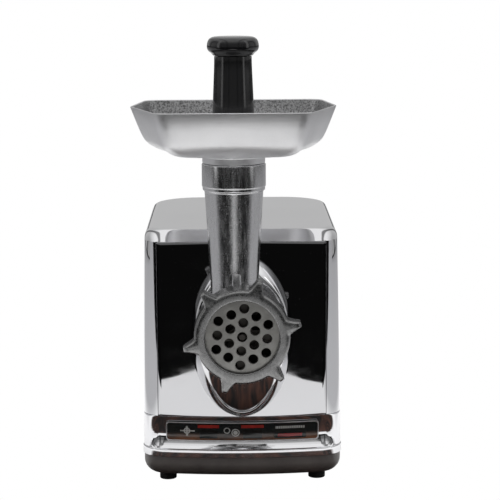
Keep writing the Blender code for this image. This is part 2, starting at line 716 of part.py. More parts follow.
def wrap(z, inset):
    """The band's face at a height, from one side wall round the front to the other.

    The hollow fades out round the corners, and both ends stop at BAND_REAR.
    """
    flush = max(band_offset(z), 0.0)
    deep = body_plan(z, inset - band_offset(z))
    shallow = body_plan(z, inset - flush)
    points = []
    for (x, d), (shallow_x, shallow_d) in zip(deep, shallow):
        fade = min(max((abs(shallow_x) - LABEL_HALF_LENGTH - BAND_FADE_GAP) / BAND_FADE, 0.0), 1.0)
        points.append((x + (shallow_x - x) * fade, d + (shallow_d - d) * fade, z))
    around = points[-CORNER_STEPS:] + points[:BOW_STEPS + 1 + CORNER_STEPS]
    left, right = around[0], around[-1]
    return [(left[0], BAND_REAR, z)] + around[1:-1] + [(right[0], BAND_REAR, z)]


def front_band():
    low = PAN_TOP + FIT
    high = PANEL_FOOT - FIT
    levels = [low, LIP_TOP, LIP_TOP + 0.6 * MM]
    levels += [LIP_TOP + (high - LIP_TOP) * i / 7 for i in range(1, 8)]
    rings = [wrap(z, 0.0) + list(reversed(wrap(z, BAND_THICKNESS))) for z in levels]
    piece("front_band", skin(rings, closed=False), chrome())


def label_insert():
    levels = [LABEL_FOOT + LABEL_HEIGHT * i / 4 for i in range(5)]
    sheet = front_sheet(LABEL_HALF_LENGTH, levels, lambda z: band_offset(z) + FIT + LABEL_THICKNESS,
                        LABEL_THICKNESS)
    piece("label_insert", sheet, label_black())


def pan_rings(inset, bottom):
    """The pan's rings from its rim down round its lower corner."""
    radius = PAN_CORNER - inset
    levels = [(PAN_TOP, 0.0)]
    for i in range(4):
        angle = math.pi / 2 * i / 3
        levels.append((bottom + radius * (1 - math.sin(angle)), radius * (1 - math.cos(angle))))
    return [[(x, d, z) for x, d in body_plan(PAN_TOP, PAN_INSET + inset + lean)] for z, lean in levels]


def base_pan():
    floor = PAN_BOTTOM + PAN_FLOOR
    obj = piece("base_pan", cup(pan_rings(0.0, PAN_BOTTOM), pan_rings(PAN_WALL, floor)), dark_plastic())
    sunk = floor - 1.0 * MM
    solids = []
    for d in (CORE_FRONT + 8 * MM, CORE_REAR - 8 * MM):
        solids.append(block((-30 * MM, 30 * MM), (d - 2 * MM, d + 2 * MM), (sunk, CORE_BOTTOM - FIT)))
    case_low = FIRST_AXIS[1] - first_clearance() - FIT
    solids.append(block((FIRST_AXIS[0] - 14 * MM, FIRST_AXIS[0] + 14 * MM),
                        (CASE_FRONT + 8 * MM, CASE_FRONT + 32 * MM), (sunk, case_low)))
    for side in (-1, 1):
        for d in (SCREW_FRONT, SCREW_REAR):
            solids.append(upright(BOSS_RADIUS, sunk, PAN_TOP + 2 * MM - FIT, side * SCREW_X, d))
        for d in (BOARD_D + 5 * MM, BOARD_D + BOARD_LENGTH - 5 * MM):
            x = side * (BOARD_HALF_WIDTH - 5 * MM)
            solids.append(upright(3 * MM, sunk, BOARD_Z - FIT, x, d, TINY_ROUND))
    fuse(obj, merged(solids))
    holes = []
    for side in (-1, 1):
        for d in (FOOT_FRONT, FOOT_REAR):
            holes.append(upright(FOOT_STEM_RADIUS + FIT, 0.0, floor + 3 * MM, side * FOOT_X, d))
        for d in (SCREW_FRONT, SCREW_REAR):
            head = SCREW_HEAD_RADIUS + FIT
            holes.append(turned([(0.0, 0.0), (head, 0.0), (head, PAN_BOTTOM + SCREW_HEAD_HEIGHT + FIT),
                                 (SCREW_RADIUS + FIT, PAN_BOTTOM + SCREW_HEAD_HEIGHT + FIT),
                                 (SCREW_RADIUS + FIT, PAN_TOP + 10 * MM), (0.0, PAN_TOP + 10 * MM)],
                                "Z", (side * SCREW_X, d, 0.0), SMALL_ROUND))
    for i in range(6):
        x = (i - 2.5) * 9 * MM
        holes.append(block((x - 1.8 * MM, x + 1.8 * MM), (CORE_FRONT + 14 * MM, CORE_REAR - 14 * MM),
                           (0.0, floor + 1 * MM)))
    cut(obj, merged(holes))


def feet():
    for row, d in (("front", FOOT_FRONT), ("rear", FOOT_REAR)):
        for name, side in (("left", -1), ("right", 1)):
            top = PAN_BOTTOM - FIT
            profile = [(0.0, 0.0), (FOOT_RADIUS - 1 * MM, 0.0), (FOOT_RADIUS, 1 * MM), (FOOT_RADIUS, top),
                       (FOOT_STEM_RADIUS, top), (FOOT_STEM_RADIUS, PAN_BOTTOM + PAN_FLOOR + 2 * MM),
                       (0.0, PAN_BOTTOM + PAN_FLOOR + 2 * MM)]
            piece(f"foot_{row}_{name}", turned(profile, "Z", (side * FOOT_X, d, 0.0), SMALL_ROUND), rubber())


def base_screws():
    for row, d in (("front", SCREW_FRONT), ("rear", SCREW_REAR)):
        for name, side in (("left", -1), ("right", 1)):
            neck = PAN_BOTTOM + SCREW_HEAD_HEIGHT
            profile = [(0.0, PAN_BOTTOM), (SCREW_HEAD_RADIUS, PAN_BOTTOM), (SCREW_HEAD_RADIUS, neck),
                       (SCREW_RADIUS, neck), (SCREW_RADIUS, PAN_TOP + 14 * MM), (0.0, PAN_TOP + 14 * MM)]
            piece(f"base_screw_{row}_{name}", turned(profile, "Z", (side * SCREW_X, d, 0.0), 12), steel())


def rear_vent_grille():
    obj = piece("rear_vent_grille",
                block((-VENT_HALF_WIDTH, VENT_HALF_WIDTH), (VENT_REAR - VENT_THICKNESS, VENT_REAR),
                      (VENT_Z - VENT_HALF_HEIGHT, VENT_Z + VENT_HALF_HEIGHT)), black_plastic())
    pitch = 2 * VENT_HALF_HEIGHT / (VENT_SLOTS + 1)
    slots = []
    for i in range(VENT_SLOTS):
        z = VENT_Z - VENT_HALF_HEIGHT + pitch * (i + 1)
        slots.append(block((-VENT_HALF_WIDTH + 6 * MM, VENT_HALF_WIDTH - 6 * MM),
                           (VENT_REAR - 2 * VENT_THICKNESS, VENT_REAR + VENT_THICKNESS),
                           (z - pitch * 0.28, z + pitch * 0.28)))
    cut(obj, merged(slots))


def cord_gland():
    rear = BODY_REAR + GLAND_PROUD
    profile = [(GLAND_RADIUS, BODY_REAR - 9 * MM), (GLAND_RADIUS, BODY_REAR + FIT),
               (GLAND_FLANGE_RADIUS, BODY_REAR + FIT), (GLAND_FLANGE_RADIUS, BODY_REAR + 2 * MM),
               (CORD_RADIUS + 2.2 * MM, rear), (CORD_RADIUS, rear), (CORD_RADIUS, BODY_REAR - 9 * MM)]
    piece("cord_gland", turned(profile, "Y", (GLAND_X, 0.0, GLAND_Z), SMALL_ROUND), black_plastic())


# Controls -------------------------------------------------------------------------------------

BUTTONS = (("power_button", -BUTTON_SPREAD, POWER_RADIUS), ("reverse_button", BUTTON_SPREAD, REVERSE_RADIUS))


def control_plate():
    face = CONTROL_FACE
    obj = piece("control_plate",
                block((face - CONTROL_THICKNESS, face),
                      (CONTROL_D - CONTROL_HALF_LENGTH, CONTROL_D + CONTROL_HALF_LENGTH),
                      (CONTROL_Z - CONTROL_HALF_HEIGHT, CONTROL_Z + CONTROL_HALF_HEIGHT)), black_plastic())
    cut(obj, merged([sideways_rod(radius + FIT, face - 9 * MM, face + 9 * MM, CONTROL_D + shift, CONTROL_Z)
                     for _, shift, radius in BUTTONS]))


def buttons():
    """Each button has a flange behind the plate, which keeps it from falling out."""
    back = CONTROL_FACE - CONTROL_THICKNESS - FIT
    for name, shift, radius in BUTTONS:
        d = CONTROL_D + shift
        hinge = pivot(f"{name}_slide", CONTROL_FACE, d, CONTROL_Z)
        obj = piece(name, sideways_rod(radius, back - BUTTON_FLANGE, CONTROL_FACE + 0.5 * MM, d, CONTROL_Z),
                    black_gloss(), hinge)
        fuse(obj, sideways_rod(radius + 1.5 * MM, back - BUTTON_FLANGE, back, d, CONTROL_Z))


def switch_body():
    back = CONTROL_FACE - CONTROL_THICKNESS - FIT
    obj = piece("switch_body",
                block((back - SWITCH_DEPTH, back),
                      (CONTROL_D - CONTROL_HALF_LENGTH + 2 * MM, CONTROL_D + CONTROL_HALF_LENGTH - 2 * MM),
                      (CONTROL_Z - CONTROL_HALF_HEIGHT + 1 * MM, CONTROL_Z + CONTROL_HALF_HEIGHT - 1 * MM)),
                black_plastic())
    cut(obj, merged([sideways_rod(radius + 2.2 * MM, back - SWITCH_POCKET, back + 5 * MM, CONTROL_D + shift,
                                  CONTROL_Z) for _, shift, radius in BUTTONS]))


def control_board():
    obj = piece("control_board",
                block((-BOARD_HALF_WIDTH, BOARD_HALF_WIDTH), (BOARD_D, BOARD_D + BOARD_LENGTH),
                      (BOARD_Z, BOARD_Z + BOARD_THICKNESS)), board_green())
    low = BOARD_Z + BOARD_THICKNESS / 2
    fuse(obj, merged([upright(6 * MM, low, BOARD_Z + 18 * MM, -14 * MM, BOARD_D + 14 * MM),
                      block((2 * MM, 20 * MM), (BOARD_D + 8 * MM, BOARD_D + 20 * MM),
                            (low, BOARD_Z + 12 * MM))]))


# Bayonet socket and lock ----------------------------------------------------------------------

def sector(outer, inner, start, end, front, rear):
    """A ring sector about the auger's axis."""
    steps = max(3, round(abs(end - start) / math.radians(8)))
    outline = arc(AUGER_AXIS, outer, start, end, steps) + arc(AUGER_AXIS, inner, end, start, steps)
    return prism(outline, front, rear)


def head_socket():
    """The front lip has two slots that let the lugs in. Each lug then turns in the groove to a stop."""
    floor = BAYONET_REAR + 2 * FIT
    profile = [(SOCKET_RADIUS, SOCKET_FRONT), (SOCKET_RADIUS, SOCKET_BACK), (SOCKET_HOLE, SOCKET_BACK),
               (SOCKET_HOLE, floor), (TAIL_RADIUS + FIT, floor), (TAIL_RADIUS + FIT, SOCKET_FRONT)]
    obj = piece("head_socket", turned(profile, "Y", (0.0, 0.0, AXIS_Z), BARREL_ROUND), nylon())
    gap = FIT / BAYONET_LUG
    room = BAYONET_LUG + FIT
    grooves = []
    slots = []
    for side in (0.0, math.pi):
        start = side + LUG_HALF_ANGLE + gap
        grooves.append(sector(room, TAIL_RADIUS - 2 * MM, start, side - BAYONET_TURN - LUG_HALF_ANGLE - gap,
                              BAYONET_FRONT - FIT, BAYONET_REAR + FIT))
        middle = side - BAYONET_TURN
        slots.append(sector(room + FIT, TAIL_RADIUS - 3 * MM, middle + LUG_HALF_ANGLE + 2 * gap,
                            middle - LUG_HALF_ANGLE - 2 * gap, SOCKET_FRONT - 5 * MM, BAYONET_FRONT + 1 * MM))
    cut(obj, merged(grooves))
    cut(obj, merged(slots))
    slack = LOCK_PIN_RADIUS + 2 * FIT
    cut(obj, prism(rounded_rectangle(slack + LOCK_TRAVEL / 2, slack, slack * 0.9,
                                     (LOCK_PIN_X - LOCK_TRAVEL / 2, AXIS_Z)),
                   BAYONET_REAR, SOCKET_BACK + 5 * MM))
    fuse(obj, merged([rod(3.2 * MM, BAYONET_REAR + 1 * MM, CASE_FRONT - FIT,
                          polar(AUGER_AXIS, SOCKET_RADIUS - 5 * MM, math.radians(45 + 90 * i)), 12)
                      for i in range(4)]))


def lock():
    """A bar behind the socket. Its pin stands just behind a bayonet lug, and its flange meets the button."""
    slide = pivot("head_release_slide", CONTROL_FACE, RELEASE_D, AXIS_Z)
    rear = LOCK_FRONT + LOCK_THICKNESS
    flange = LOCK_FLANGE_X
    left = LOCK_PIN_X - LOCK_PIN_RADIUS - 2 * MM
    heights = (AXIS_Z - LOCK_HALF_HEIGHT, AXIS_Z + LOCK_HALF_HEIGHT)
    hole = OUTPUT_SHAFT_RADIUS + 1 * MM
    outline = [(left, heights[0]), (flange, heights[0]), (flange, heights[1]), (left, heights[1])]
    obj = piece("lock_plate", prism(outline, LOCK_FRONT, rear), steel(), slide)
    tall = prism(rounded_rectangle(hole + LOCK_TRAVEL / 2 + 5 * MM, hole + 5 * MM, hole,
                                   (LOCK_TRAVEL / 2, AXIS_Z), 6), LOCK_FRONT, rear)
    fuse(obj, tall)
    fuse(obj, block((flange - LOCK_THICKNESS, flange), (LOCK_FRONT, RELEASE_D + 7 * MM), heights))
    fuse(obj, rod(LOCK_PIN_RADIUS, BAYONET_REAR + FIT, rear - LOCK_THICKNESS / 2, (LOCK_PIN_X, AXIS_Z), 12))
    cut(obj, prism(rounded_rectangle(hole + LOCK_TRAVEL / 2, hole, hole * 0.98, (LOCK_TRAVEL / 2, AXIS_Z), 6),
                   LOCK_FRONT - 5 * MM, rear + 5 * MM))
    button = piece("release_button",
                   sideways_rod(RELEASE_RADIUS, CONTROL_FACE - 6 * MM, CONTROL_FACE + 0.5 * MM, RELEASE_D,
                                AXIS_Z), black_gloss(), slide)
    fuse(button, sideways_rod(3 * MM, flange + FIT, CONTROL_FACE - 3 * MM, RELEASE_D, AXIS_Z, 12))


# Grinding head --------------------------------------------------------------------------------

def grinder_body(head):
    barrel = [(0.0, MOUTH_FRONT), (MOUTH_RADIUS - 0.6 * MM, MOUTH_FRONT),
              (MOUTH_RADIUS, MOUTH_FRONT + 1 * MM), (MOUTH_RADIUS, MOUTH_REAR),
              (BARREL_RADIUS, MOUTH_REAR + 5 * MM), (BARREL_RADIUS, BARREL_STEP), (TAIL_RADIUS, BARREL_STEP),
              (TAIL_RADIUS, BAYONET_REAR), (0.0, BAYONET_REAR)]
    obj = piece("grinder_body", turned(barrel, "Y", (0.0, 0.0, AXIS_Z), BARREL_ROUND), cast_metal(), head)
    centre = (FEED_X, FEED_D, 0.0)
    outside = [(0.0, TUBE_FOOT), (TUBE_FOOT_RADIUS, TUBE_FOOT), (TUBE_FOOT_RADIUS, TUBE_TAPER_END),
               (TUBE_TOP_RADIUS, STEP_FOOT), (COLLAR_RADIUS - 0.5 * MM, STEP_FOOT + 0.5 * MM),
               (COLLAR_RADIUS - 0.5 * MM, COLLAR_FOOT), (COLLAR_RADIUS, COLLAR_FOOT),
               (COLLAR_RADIUS, COLLAR_TOP), (0.0, COLLAR_TOP)]
    fuse(obj, turned(outside, "Z", centre, ROUND))
    fuse(obj, merged([sector(BAYONET_LUG, TAIL_RADIUS - 2 * MM, side + LUG_HALF_ANGLE, side - LUG_HALF_ANGLE,
                             BAYONET_FRONT, BAYONET_REAR) for side in (0.0, math.pi)]))
    seat = PLATE_REAR + FIT
    journal = JOURNAL_RADIUS + FIT
    recess = PLATE_RADIUS + FIT
    bore = [(0.0, MOUTH_FRONT - 5 * MM), (recess, MOUTH_FRONT - 5 * MM), (recess, seat),
            (BARREL_BORE, seat), (BARREL_BORE, REAR_WALL_FRONT), (journal, REAR_WALL_FRONT),
            (journal, REAR_WALL_REAR), (TAIL_BORE, REAR_WALL_REAR), (TAIL_BORE, BAYONET_REAR + 5 * MM),
            (0.0, BAYONET_REAR + 5 * MM)]
    cut(obj, turned(bore, "Y", (0.0, 0.0, AXIS_Z), BARREL_ROUND))
    spigot_seat = COLLAR_TOP - SPIGOT_LENGTH - FIT
    inside = [(0.0, AXIS_Z), (TUBE_FOOT_RADIUS - TUBE_WALL, AXIS_Z),
              (TUBE_FOOT_RADIUS - TUBE_WALL, TUBE_TAPER_END),
              (TUBE_TOP_RADIUS - TUBE_WALL, STEP_FOOT), (TUBE_TOP_RADIUS - TUBE_WALL, spigot_seat),
              (SPIGOT_RADIUS + FIT, spigot_seat), (SPIGOT_RADIUS + FIT, COLLAR_TOP + 5 * MM),
              (0.0, COLLAR_TOP + 5 * MM)]
    cut(obj, turned(inside, "Z", centre, ROUND))


def perforated_plate(plate):
    """A hexagonal pattern of holes round a centre hole for the auger's pin."""
    obj = piece("perforated_plate", rod(PLATE_RADIUS, PLATE_FRONT, PLATE_REAR, AUGER_AXIS, BARREL_ROUND),
                steel(), plate)
    holes = []
    for a in range(-2, 3):
        for b in range(-2, 3):
            if abs(a + b) > 2:
                continue
            x = PLATE_PITCH * (a + b / 2)
            z = PLATE_PITCH * b * math.sqrt(0.75)
            turn_x = x * math.cos(PLATE_TURN) - z * math.sin(PLATE_TURN)
            turn_z = x * math.sin(PLATE_TURN) + z * math.cos(PLATE_TURN)
            holes.append(rod(PLATE_HOLE_RADIUS, -5 * MM, PLATE_REAR + 5 * MM,
                             (turn_x, AXIS_Z + turn_z), TINY_ROUND))
    cut(obj, merged(holes))


def nut_angles():
    """Angles round the nut, with extra ones at each lug's foot, waist and tip."""
    tip = LUG_TIP_HALF_WIDTH / LUG_TIP
    waist = (LUG_BASE_HALF_ANGLE + tip) / 2
    offsets = [-LUG_BASE_HALF_ANGLE, -waist, -tip, tip, waist, LUG_BASE_HALF_ANGLE]
    spare = (2 * math.pi / LUG_COUNT - 2 * LUG_BASE_HALF_ANGLE) / 3
    offsets += [LUG_BASE_HALF_ANGLE + spare * i for i in (1, 2)]
    middles = [LUG_TURN + lug * 2 * math.pi / LUG_COUNT for lug in range(LUG_COUNT)]
    return [(middle + off, off) for middle in middles for off in offsets]


def nut_ring(d, body_radius, lug_share):
    """One ring of the nut's outside. A lug narrows to its tip with hollow sides."""
    points = []
    tip = LUG_TIP_HALF_WIDTH / LUG_TIP
    for angle, off in nut_angles():
        reach = min(max((LUG_BASE_HALF_ANGLE - abs(off)) / (LUG_BASE_HALF_ANGLE - tip), 0.0), 1.0)
        radius = body_radius + (LUG_TIP - NUT_RADIUS) * reach**1.7 * lug_share
        x, z = polar(AUGER_AXIS, radius, angle)
        points.append((x, d, z))
    return points


def bore_ring(d, radius):
    around = [polar(AUGER_AXIS, radius, angle) for angle, _ in nut_angles()]
    return [(x, d, z) for x, z in around]


def ring_nut(nut):
    outside = [(0.0, NUT_RADIUS - 2.0 * MM, 0.85), (2.5 * MM, NUT_RADIUS, 1.0),
               (LUG_DEPTH - 2 * MM, NUT_RADIUS, 1.0), (LUG_DEPTH, NUT_RADIUS, 0.0),
               (NUT_DEPTH, NUT_RADIUS, 0.0)]
    bore = MOUTH_RADIUS + FIT
    inside = [(NUT_DEPTH, bore), (NUT_LIP, bore), (NUT_LIP, NUT_OPENING), (0.0, NUT_OPENING)]
    rings = [nut_ring(*level) for level in outside] + [bore_ring(*level) for level in inside]
    piece("ring_nut", skin(rings, closed=True), cast_metal(), nut)


def cutting_blade(drive):
    """Four swept arms on a square."""
    hub = BLADE_RADIUS * 0.35
    arm = ((hub, -38), (hub * 4 / 3, -14), (BLADE_RADIUS, -10), (BLADE_RADIUS, 6), (hub * 1.9, 16), (hub, 26))
    outline = [polar(AUGER_AXIS, radius, turn * math.pi / 2 + math.radians(angle))
               for turn in range(4) for radius, angle in arm]
    obj = piece("cutting_blade", prism(outline, BLADE_FRONT, BLADE_REAR), steel(), drive)
    side = BLADE_SQUARE + FIT
    cut(obj, block((-side, side), (0.0, BLADE_REAR + 5 * MM), (AXIS_Z - side, AXIS_Z + side)))


def auger(drive):
    """A right-hand flight on a core that thickens forwards, with a square stub and a hexagonal tail."""
    core = [(0.0, BLADE_REAR + FIT), (12 * MM, BLADE_REAR + FIT), (9 * MM, FLIGHT_REAR + 3 * MM),
            (JOURNAL_RADIUS, FLIGHT_REAR + 3.2 * MM), (JOURNAL_RADIUS, REAR_WALL_REAR + 1 * MM),
            (0.0, REAR_WALL_REAR + 1 * MM)]
    obj = piece("auger", turned(core, "Y", (0.0, 0.0, AXIS_Z), SMALL_ROUND), cast_metal(), drive)
    turns = (FLIGHT_REAR - FLIGHT_FRONT) / FLIGHT_PITCH
    steps = round(turns * 16)
    rings = []
    for i in range(steps + 1):
        d = FLIGHT_FRONT + (FLIGHT_REAR - FLIGHT_FRONT) * i / steps
        angle = -2 * math.pi * (d - FLIGHT_FRONT) / FLIGHT_PITCH
        points = []
        for radius, shift in ((5 * MM, -2.8 * MM), (FLIGHT_RADIUS, -1.6 * MM), (FLIGHT_RADIUS, 1.6 * MM),
                              (5 * MM, 2.8 * MM)):
            x, z = polar(AUGER_AXIS, radius, angle)
            points.append((x, d + shift, z))
        rings.append(points)
    fuse(obj, skin(rings, closed=False))
    side = BLADE_SQUARE
    fuse(obj, block((-side, side), (PLATE_REAR + FIT, BLADE_REAR + 2 * MM), (AXIS_Z - side, AXIS_Z + side)))
    fuse(obj, rod(PIN_RADIUS, PLATE_FRONT - PIN_PROUD, BLADE_REAR, AUGER_AXIS, 12))
    fuse(obj, prism(hexagon(TAIL_HEX, AUGER_AXIS), REAR_WALL_REAR, OUTPUT_FRONT - 4 * MM))


def auger_coupling(drive):
    outside = prism(hexagon(DRIVE_HEX, AUGER_AXIS), SHAFT_FRONT + 1 * MM, OUTPUT_FRONT - 4 * MM)
    obj = piece("auger_coupling", outside, nylon(), drive)
    cut(obj, prism(hexagon(TAIL_HEX + FIT, AUGER_AXIS), SHAFT_FRONT - 5 * MM, OUTPUT_FRONT + 5 * MM))


def thrust_washer(drive):
    rear = REAR_WALL_FRONT - FIT
    piece("thrust_washer",
          ring(WASHER_RADIUS, JOURNAL_RADIUS + FIT, rear - WASHER_THICKNESS, rear, AUGER_AXIS),
          nylon(), drive)


# Tray and pusher ------------------------------------------------------------------------------

def rounded_outline(corners, radius, steps=2, side_steps=4):
    """A convex outline with an arc tangent to both sides at each corner, and points along the sides."""
    points = []
    count = len(corners)
    for i in range(count):
        before, here, after = (Vector(corners[(i + k) % count]) for k in (-1, 0, 1))
        one = (before - here).normalized()
        two = (after - here).normalized()
        half = one.angle(two) / 2
        middle = here + (one + two).normalized() * radius / math.sin(half)
        start = here + one * radius / math.tan(half) - middle
        end = here + two * radius / math.tan(half) - middle
        sweep = start.angle_signed(end)
        for k in range(steps + 1):
            arm = start.copy()
            arm.rotate(Matrix.Rotation(-sweep * k / steps, 2))
            points.append(middle + arm)
    even = []
    for i, (here, after) in enumerate(zip(points, points[1:] + points[:1])):
        cuts = side_steps if i % (steps + 1) == steps else 1
        even += [here.lerp(after, k / cuts) for k in range(cuts)]
    return even


def tray_rim():
    corners = [(-TRAY_FRONT_HALF, TRAY_FRONT), (TRAY_FRONT_HALF, TRAY_FRONT), (TRAY_WIDE_HALF, FEED_D),
               (TRAY_BACK_HALF, TRAY_BACK), (-TRAY_BACK_HALF, TRAY_BACK), (-TRAY_WIDE_HALF, FEED_D)]
    return rounded_outline(corners, TRAY_CORNER)


def tray_level(z, inset, roundness=0.0, radius=0.0):
    """The rim's outline moved towards the feed axis by inset, then blended into a circle by roundness."""
    points = []
    for corner in tray_rim():
        arm = corner - Vector((0.0, FEED_D))
        length = arm.length - inset
        wanted = length + (radius - length) * roundness
        arm = arm.normalized() * wanted
        points.append((FEED_X + arm.x, FEED_D + arm.y, z))
    return points


def tray(body):
    """A stamped tray: flared walls, a dished floor and a spigot that drops into the feed tube's collar."""
    neck = COLLAR_TOP + FIT
    spigot_low = COLLAR_TOP - SPIGOT_LENGTH
    hole = SPIGOT_RADIUS - SPIGOT_WALL
    bends = [(COLLAR_TOP + rise * MM, inset * MM) for rise, inset in BENDS]
    outer = [tray_level(TRAY_TOP, 0.0)]
    outer += [tray_level(z, inset) for z, inset in reversed(bends)]
    outer += [tray_level(COLLAR_TOP + DISH_RISE, 0.0, 1.0, DISH_RADIUS),
              tray_level(neck + NECK_HEIGHT + TRAY_WALL, 0.0, 1.0, NECK_RADIUS),
              tray_level(neck, 0.0, 1.0, NECK_RADIUS)]
    spigot = [tray_level(neck, 0.0, 1.0, SPIGOT_RADIUS), tray_level(spigot_low, 0.0, 1.0, SPIGOT_RADIUS),
              tray_level(spigot_low, 0.0, 1.0, hole), tray_level(SHOULDER_Z, 0.0, 1.0, hole)]
    inner = [tray_level(SHOULDER_Z, 0.0, 1.0, PUSHER_SHOULDER_RADIUS + 3 * MM),
             tray_level(SHOULDER_Z + 0.6 * MM, 0.0, 1.0, DISH_RADIUS)]
    inner += [tray_level(z + lift * MM, inset + TRAY_WALL)
              for (z, inset), lift in zip(bends, (1.6, 1.5, 0.8))]
    inner.append(tray_level(TRAY_TOP, TRAY_WALL))
    piece("tray", skin(outer + spigot + inner, closed=True), tray_metal(), body)


def pusher_stem(slide):
    """A hollow stem, closed at its tip. Its shoulder rests on the tray's floor."""
    low = SHOULDER_Z + FIT
    shoulder = low + PUSHER_SHOULDER_HEIGHT
    wall = PUSHER_WALL
    top = PUSHER_NECK - FIT
    profile = [(0.0, PUSHER_TIP), (PUSHER_TIP_RADIUS - 1 * MM, PUSHER_TIP),
               (PUSHER_TIP_RADIUS, PUSHER_TIP + 1 * MM),
               (PUSHER_THROAT_RADIUS, STEP_FOOT), (PUSHER_THROAT_RADIUS, low), (PUSHER_SHOULDER_RADIUS, low),
               (PUSHER_SHOULDER_RADIUS, shoulder), (PUSHER_FLOOR_RADIUS, shoulder + 1 * MM),
               (PUSHER_RIM_RADIUS, TRAY_TOP - 4 * MM), (PUSHER_NECK_RADIUS, PUSHER_NECK - 6 * MM),
               (PUSHER_NECK_RADIUS, top), (PUSHER_NECK_RADIUS - wall, top),
               (PUSHER_NECK_RADIUS - wall, TRAY_TOP), (PUSHER_TIP_RADIUS - wall, PUSHER_TIP + wall * 2),
               (0.0, PUSHER_TIP + wall * 2)]
    piece("pusher_stem", turned(profile, "Z", (FEED_X, FEED_D, 0.0)), black_gloss(), slide)


def pusher_cap(slide):
    plug = PUSHER_NECK_RADIUS - PUSHER_WALL - FIT
    profile = [(0.0, PUSHER_NECK - CAP_PLUG), (plug, PUSHER_NECK - CAP_PLUG), (plug, PUSHER_NECK),
               (PUSHER_NECK_RADIUS + 1.5 * MM, PUSHER_NECK), (CAP_RADIUS - 1.5 * MM, PUSHER_NECK + 4 * MM),
               (CAP_RADIUS, PUSHER_NECK + 8 * MM), (CAP_RADIUS - 0.6 * MM, CAP_TOP - 3.5 * MM),
               (CAP_RADIUS - 2.4 * MM, CAP_TOP - 1.2 * MM), (CAP_RADIUS - 6 * MM, CAP_TOP), (0.0, CAP_TOP)]
    piece("pusher_cap", turned(profile, "Z", (FEED_X, FEED_D, 0.0)), black_gloss(), slide)


# Gear train -----------------------------------------------------------------------------------

def gear_outline(teeth, module, axis, toward, tooth_there):
    """An involute gear with stub teeth. At the angle toward, a tooth or a gap has its middle."""
    pitch = module * teeth / 2
    base = pitch * math.cos(PRESSURE_ANGLE)
    half_tooth = math.pi / (2 * teeth) - BACKLASH * module / (2 * pitch)
    at_pitch = math.tan(PRESSURE_ANGLE) - PRESSURE_ANGLE

    def flank(radius):
        """Half the tooth's angle at a radius, from the involute."""
        roll = math.acos(base / max(radius, base))
        return half_tooth + at_pitch - (math.tan(roll) - roll)

    radii = [pitch - DEDENDUM * module, pitch + ADDENDUM * module]
    if teeth < FEW_TEETH:
        radii.insert(1, pitch)
    first = toward + (0.0 if tooth_there else math.pi / teeth)
    points = []
    for tooth in range(teeth):
        middle = first + tooth * 2 * math.pi / teeth
        points += [polar(axis, radius, middle - flank(radius)) for radius in radii]
        points += [polar(axis, radius, middle + flank(radius)) for radius in reversed(radii)]
    return points


def output_gear(drive):
    outline = gear_outline(OUTPUT_TEETH, OUTPUT_MODULE, AUGER_AXIS, TO_SECOND, True)
    obj = piece("output_gear", prism(outline, OUTPUT_FRONT, OUTPUT_FRONT + OUTPUT_FACE), steel(), drive)
    cut(obj, prism(hexagon(output_hex() + FIT, AUGER_AXIS), OUTPUT_FRONT - 5 * MM, MIDDLE_FRONT))


def output_hex():
    """Half the width across flats of the hexagon that carries the output gear."""
    return (OUTPUT_SHAFT_RADIUS - FIT) * math.cos(math.pi / 6)


def output_shaft(drive):
    obj = piece("output_shaft", rod(OUTPUT_SHAFT_RADIUS, SHAFT_FRONT, OUTPUT_FRONT - FIT, AUGER_AXIS, ROUND),
                steel(), drive)
    fuse(obj, prism(hexagon(output_hex(), AUGER_AXIS), OUTPUT_FRONT - 1 * MM, MIDDLE_FRONT - 1 * MM))
    fuse(obj, rod(HUB_RADIUS, OUTPUT_FRONT + 1 * MM, COVER_REAR - 1 * MM, AUGER_AXIS))
    cut(obj, prism(hexagon(DRIVE_HEX + FIT, AUGER_AXIS), SHAFT_FRONT - 5 * MM, OUTPUT_FRONT - 2 * MM))


def gear_cluster(name, parent, axis, wheel, pinion):
    """A wheel and a pinion cut in one piece, with hubs that reach the case and the cover."""
    (wheel_outline, wheel_front, wheel_rear), (pinion_outline, pinion_front, pinion_rear) = wheel, pinion
    obj = piece(name, prism(wheel_outline, wheel_front, wheel_rear), steel(), parent)
    fuse(obj, prism(pinion_outline, pinion_front, pinion_rear))
    fuse(obj, rod(HUB_RADIUS, CASE_FRONT + CASE_WALL + FIT, pinion_front + 1 * MM, axis))
    fuse(obj, rod(HUB_RADIUS, wheel_rear - 1 * MM, COVER_FRONT - FIT, axis))
    cut(obj, rod(AXLE_RADIUS + FIT, CASE_FRONT, COVER_REAR, axis))


def gear_clusters(second, first):
    half_turn = math.pi
    gear_cluster("second_reduction_gear", second, SECOND_AXIS,
                 (gear_outline(MIDDLE_TEETH, MIDDLE_MODULE, SECOND_AXIS, TO_FIRST, True),
                  MIDDLE_FRONT, MIDDLE_FRONT + MIDDLE_FACE),
                 (gear_outline(OUTPUT_PINION_TEETH, OUTPUT_MODULE, SECOND_AXIS, TO_SECOND + half_turn, False),
                  OUTPUT_FRONT - 0.5 * MM, MIDDLE_FRONT + 1 * MM))
    gear_cluster("first_reduction_gear", first, FIRST_AXIS,
                 (gear_outline(FIRST_TEETH, FIRST_MODULE, FIRST_AXIS, TO_MOTOR, True),
                  FIRST_FRONT, FIRST_FRONT + FIRST_FACE),
                 (gear_outline(MIDDLE_PINION_TEETH, MIDDLE_MODULE, FIRST_AXIS, TO_FIRST + half_turn, False),
                  MIDDLE_FRONT - 1.5 * MM, FIRST_FRONT + 1 * MM))


def gear_axles():
    for name, axis in (("first_axle", FIRST_AXIS), ("second_axle", SECOND_AXIS)):
        piece(name, rod(AXLE_RADIUS, CASE_FRONT + FIT, COVER_REAR - FIT, axis, 12), steel())


def wheel_clearance(teeth, module):
    """Outside radius of the gearbox round a wheel."""
    return module * (teeth / 2 + ADDENDUM) + CASE_MARGIN


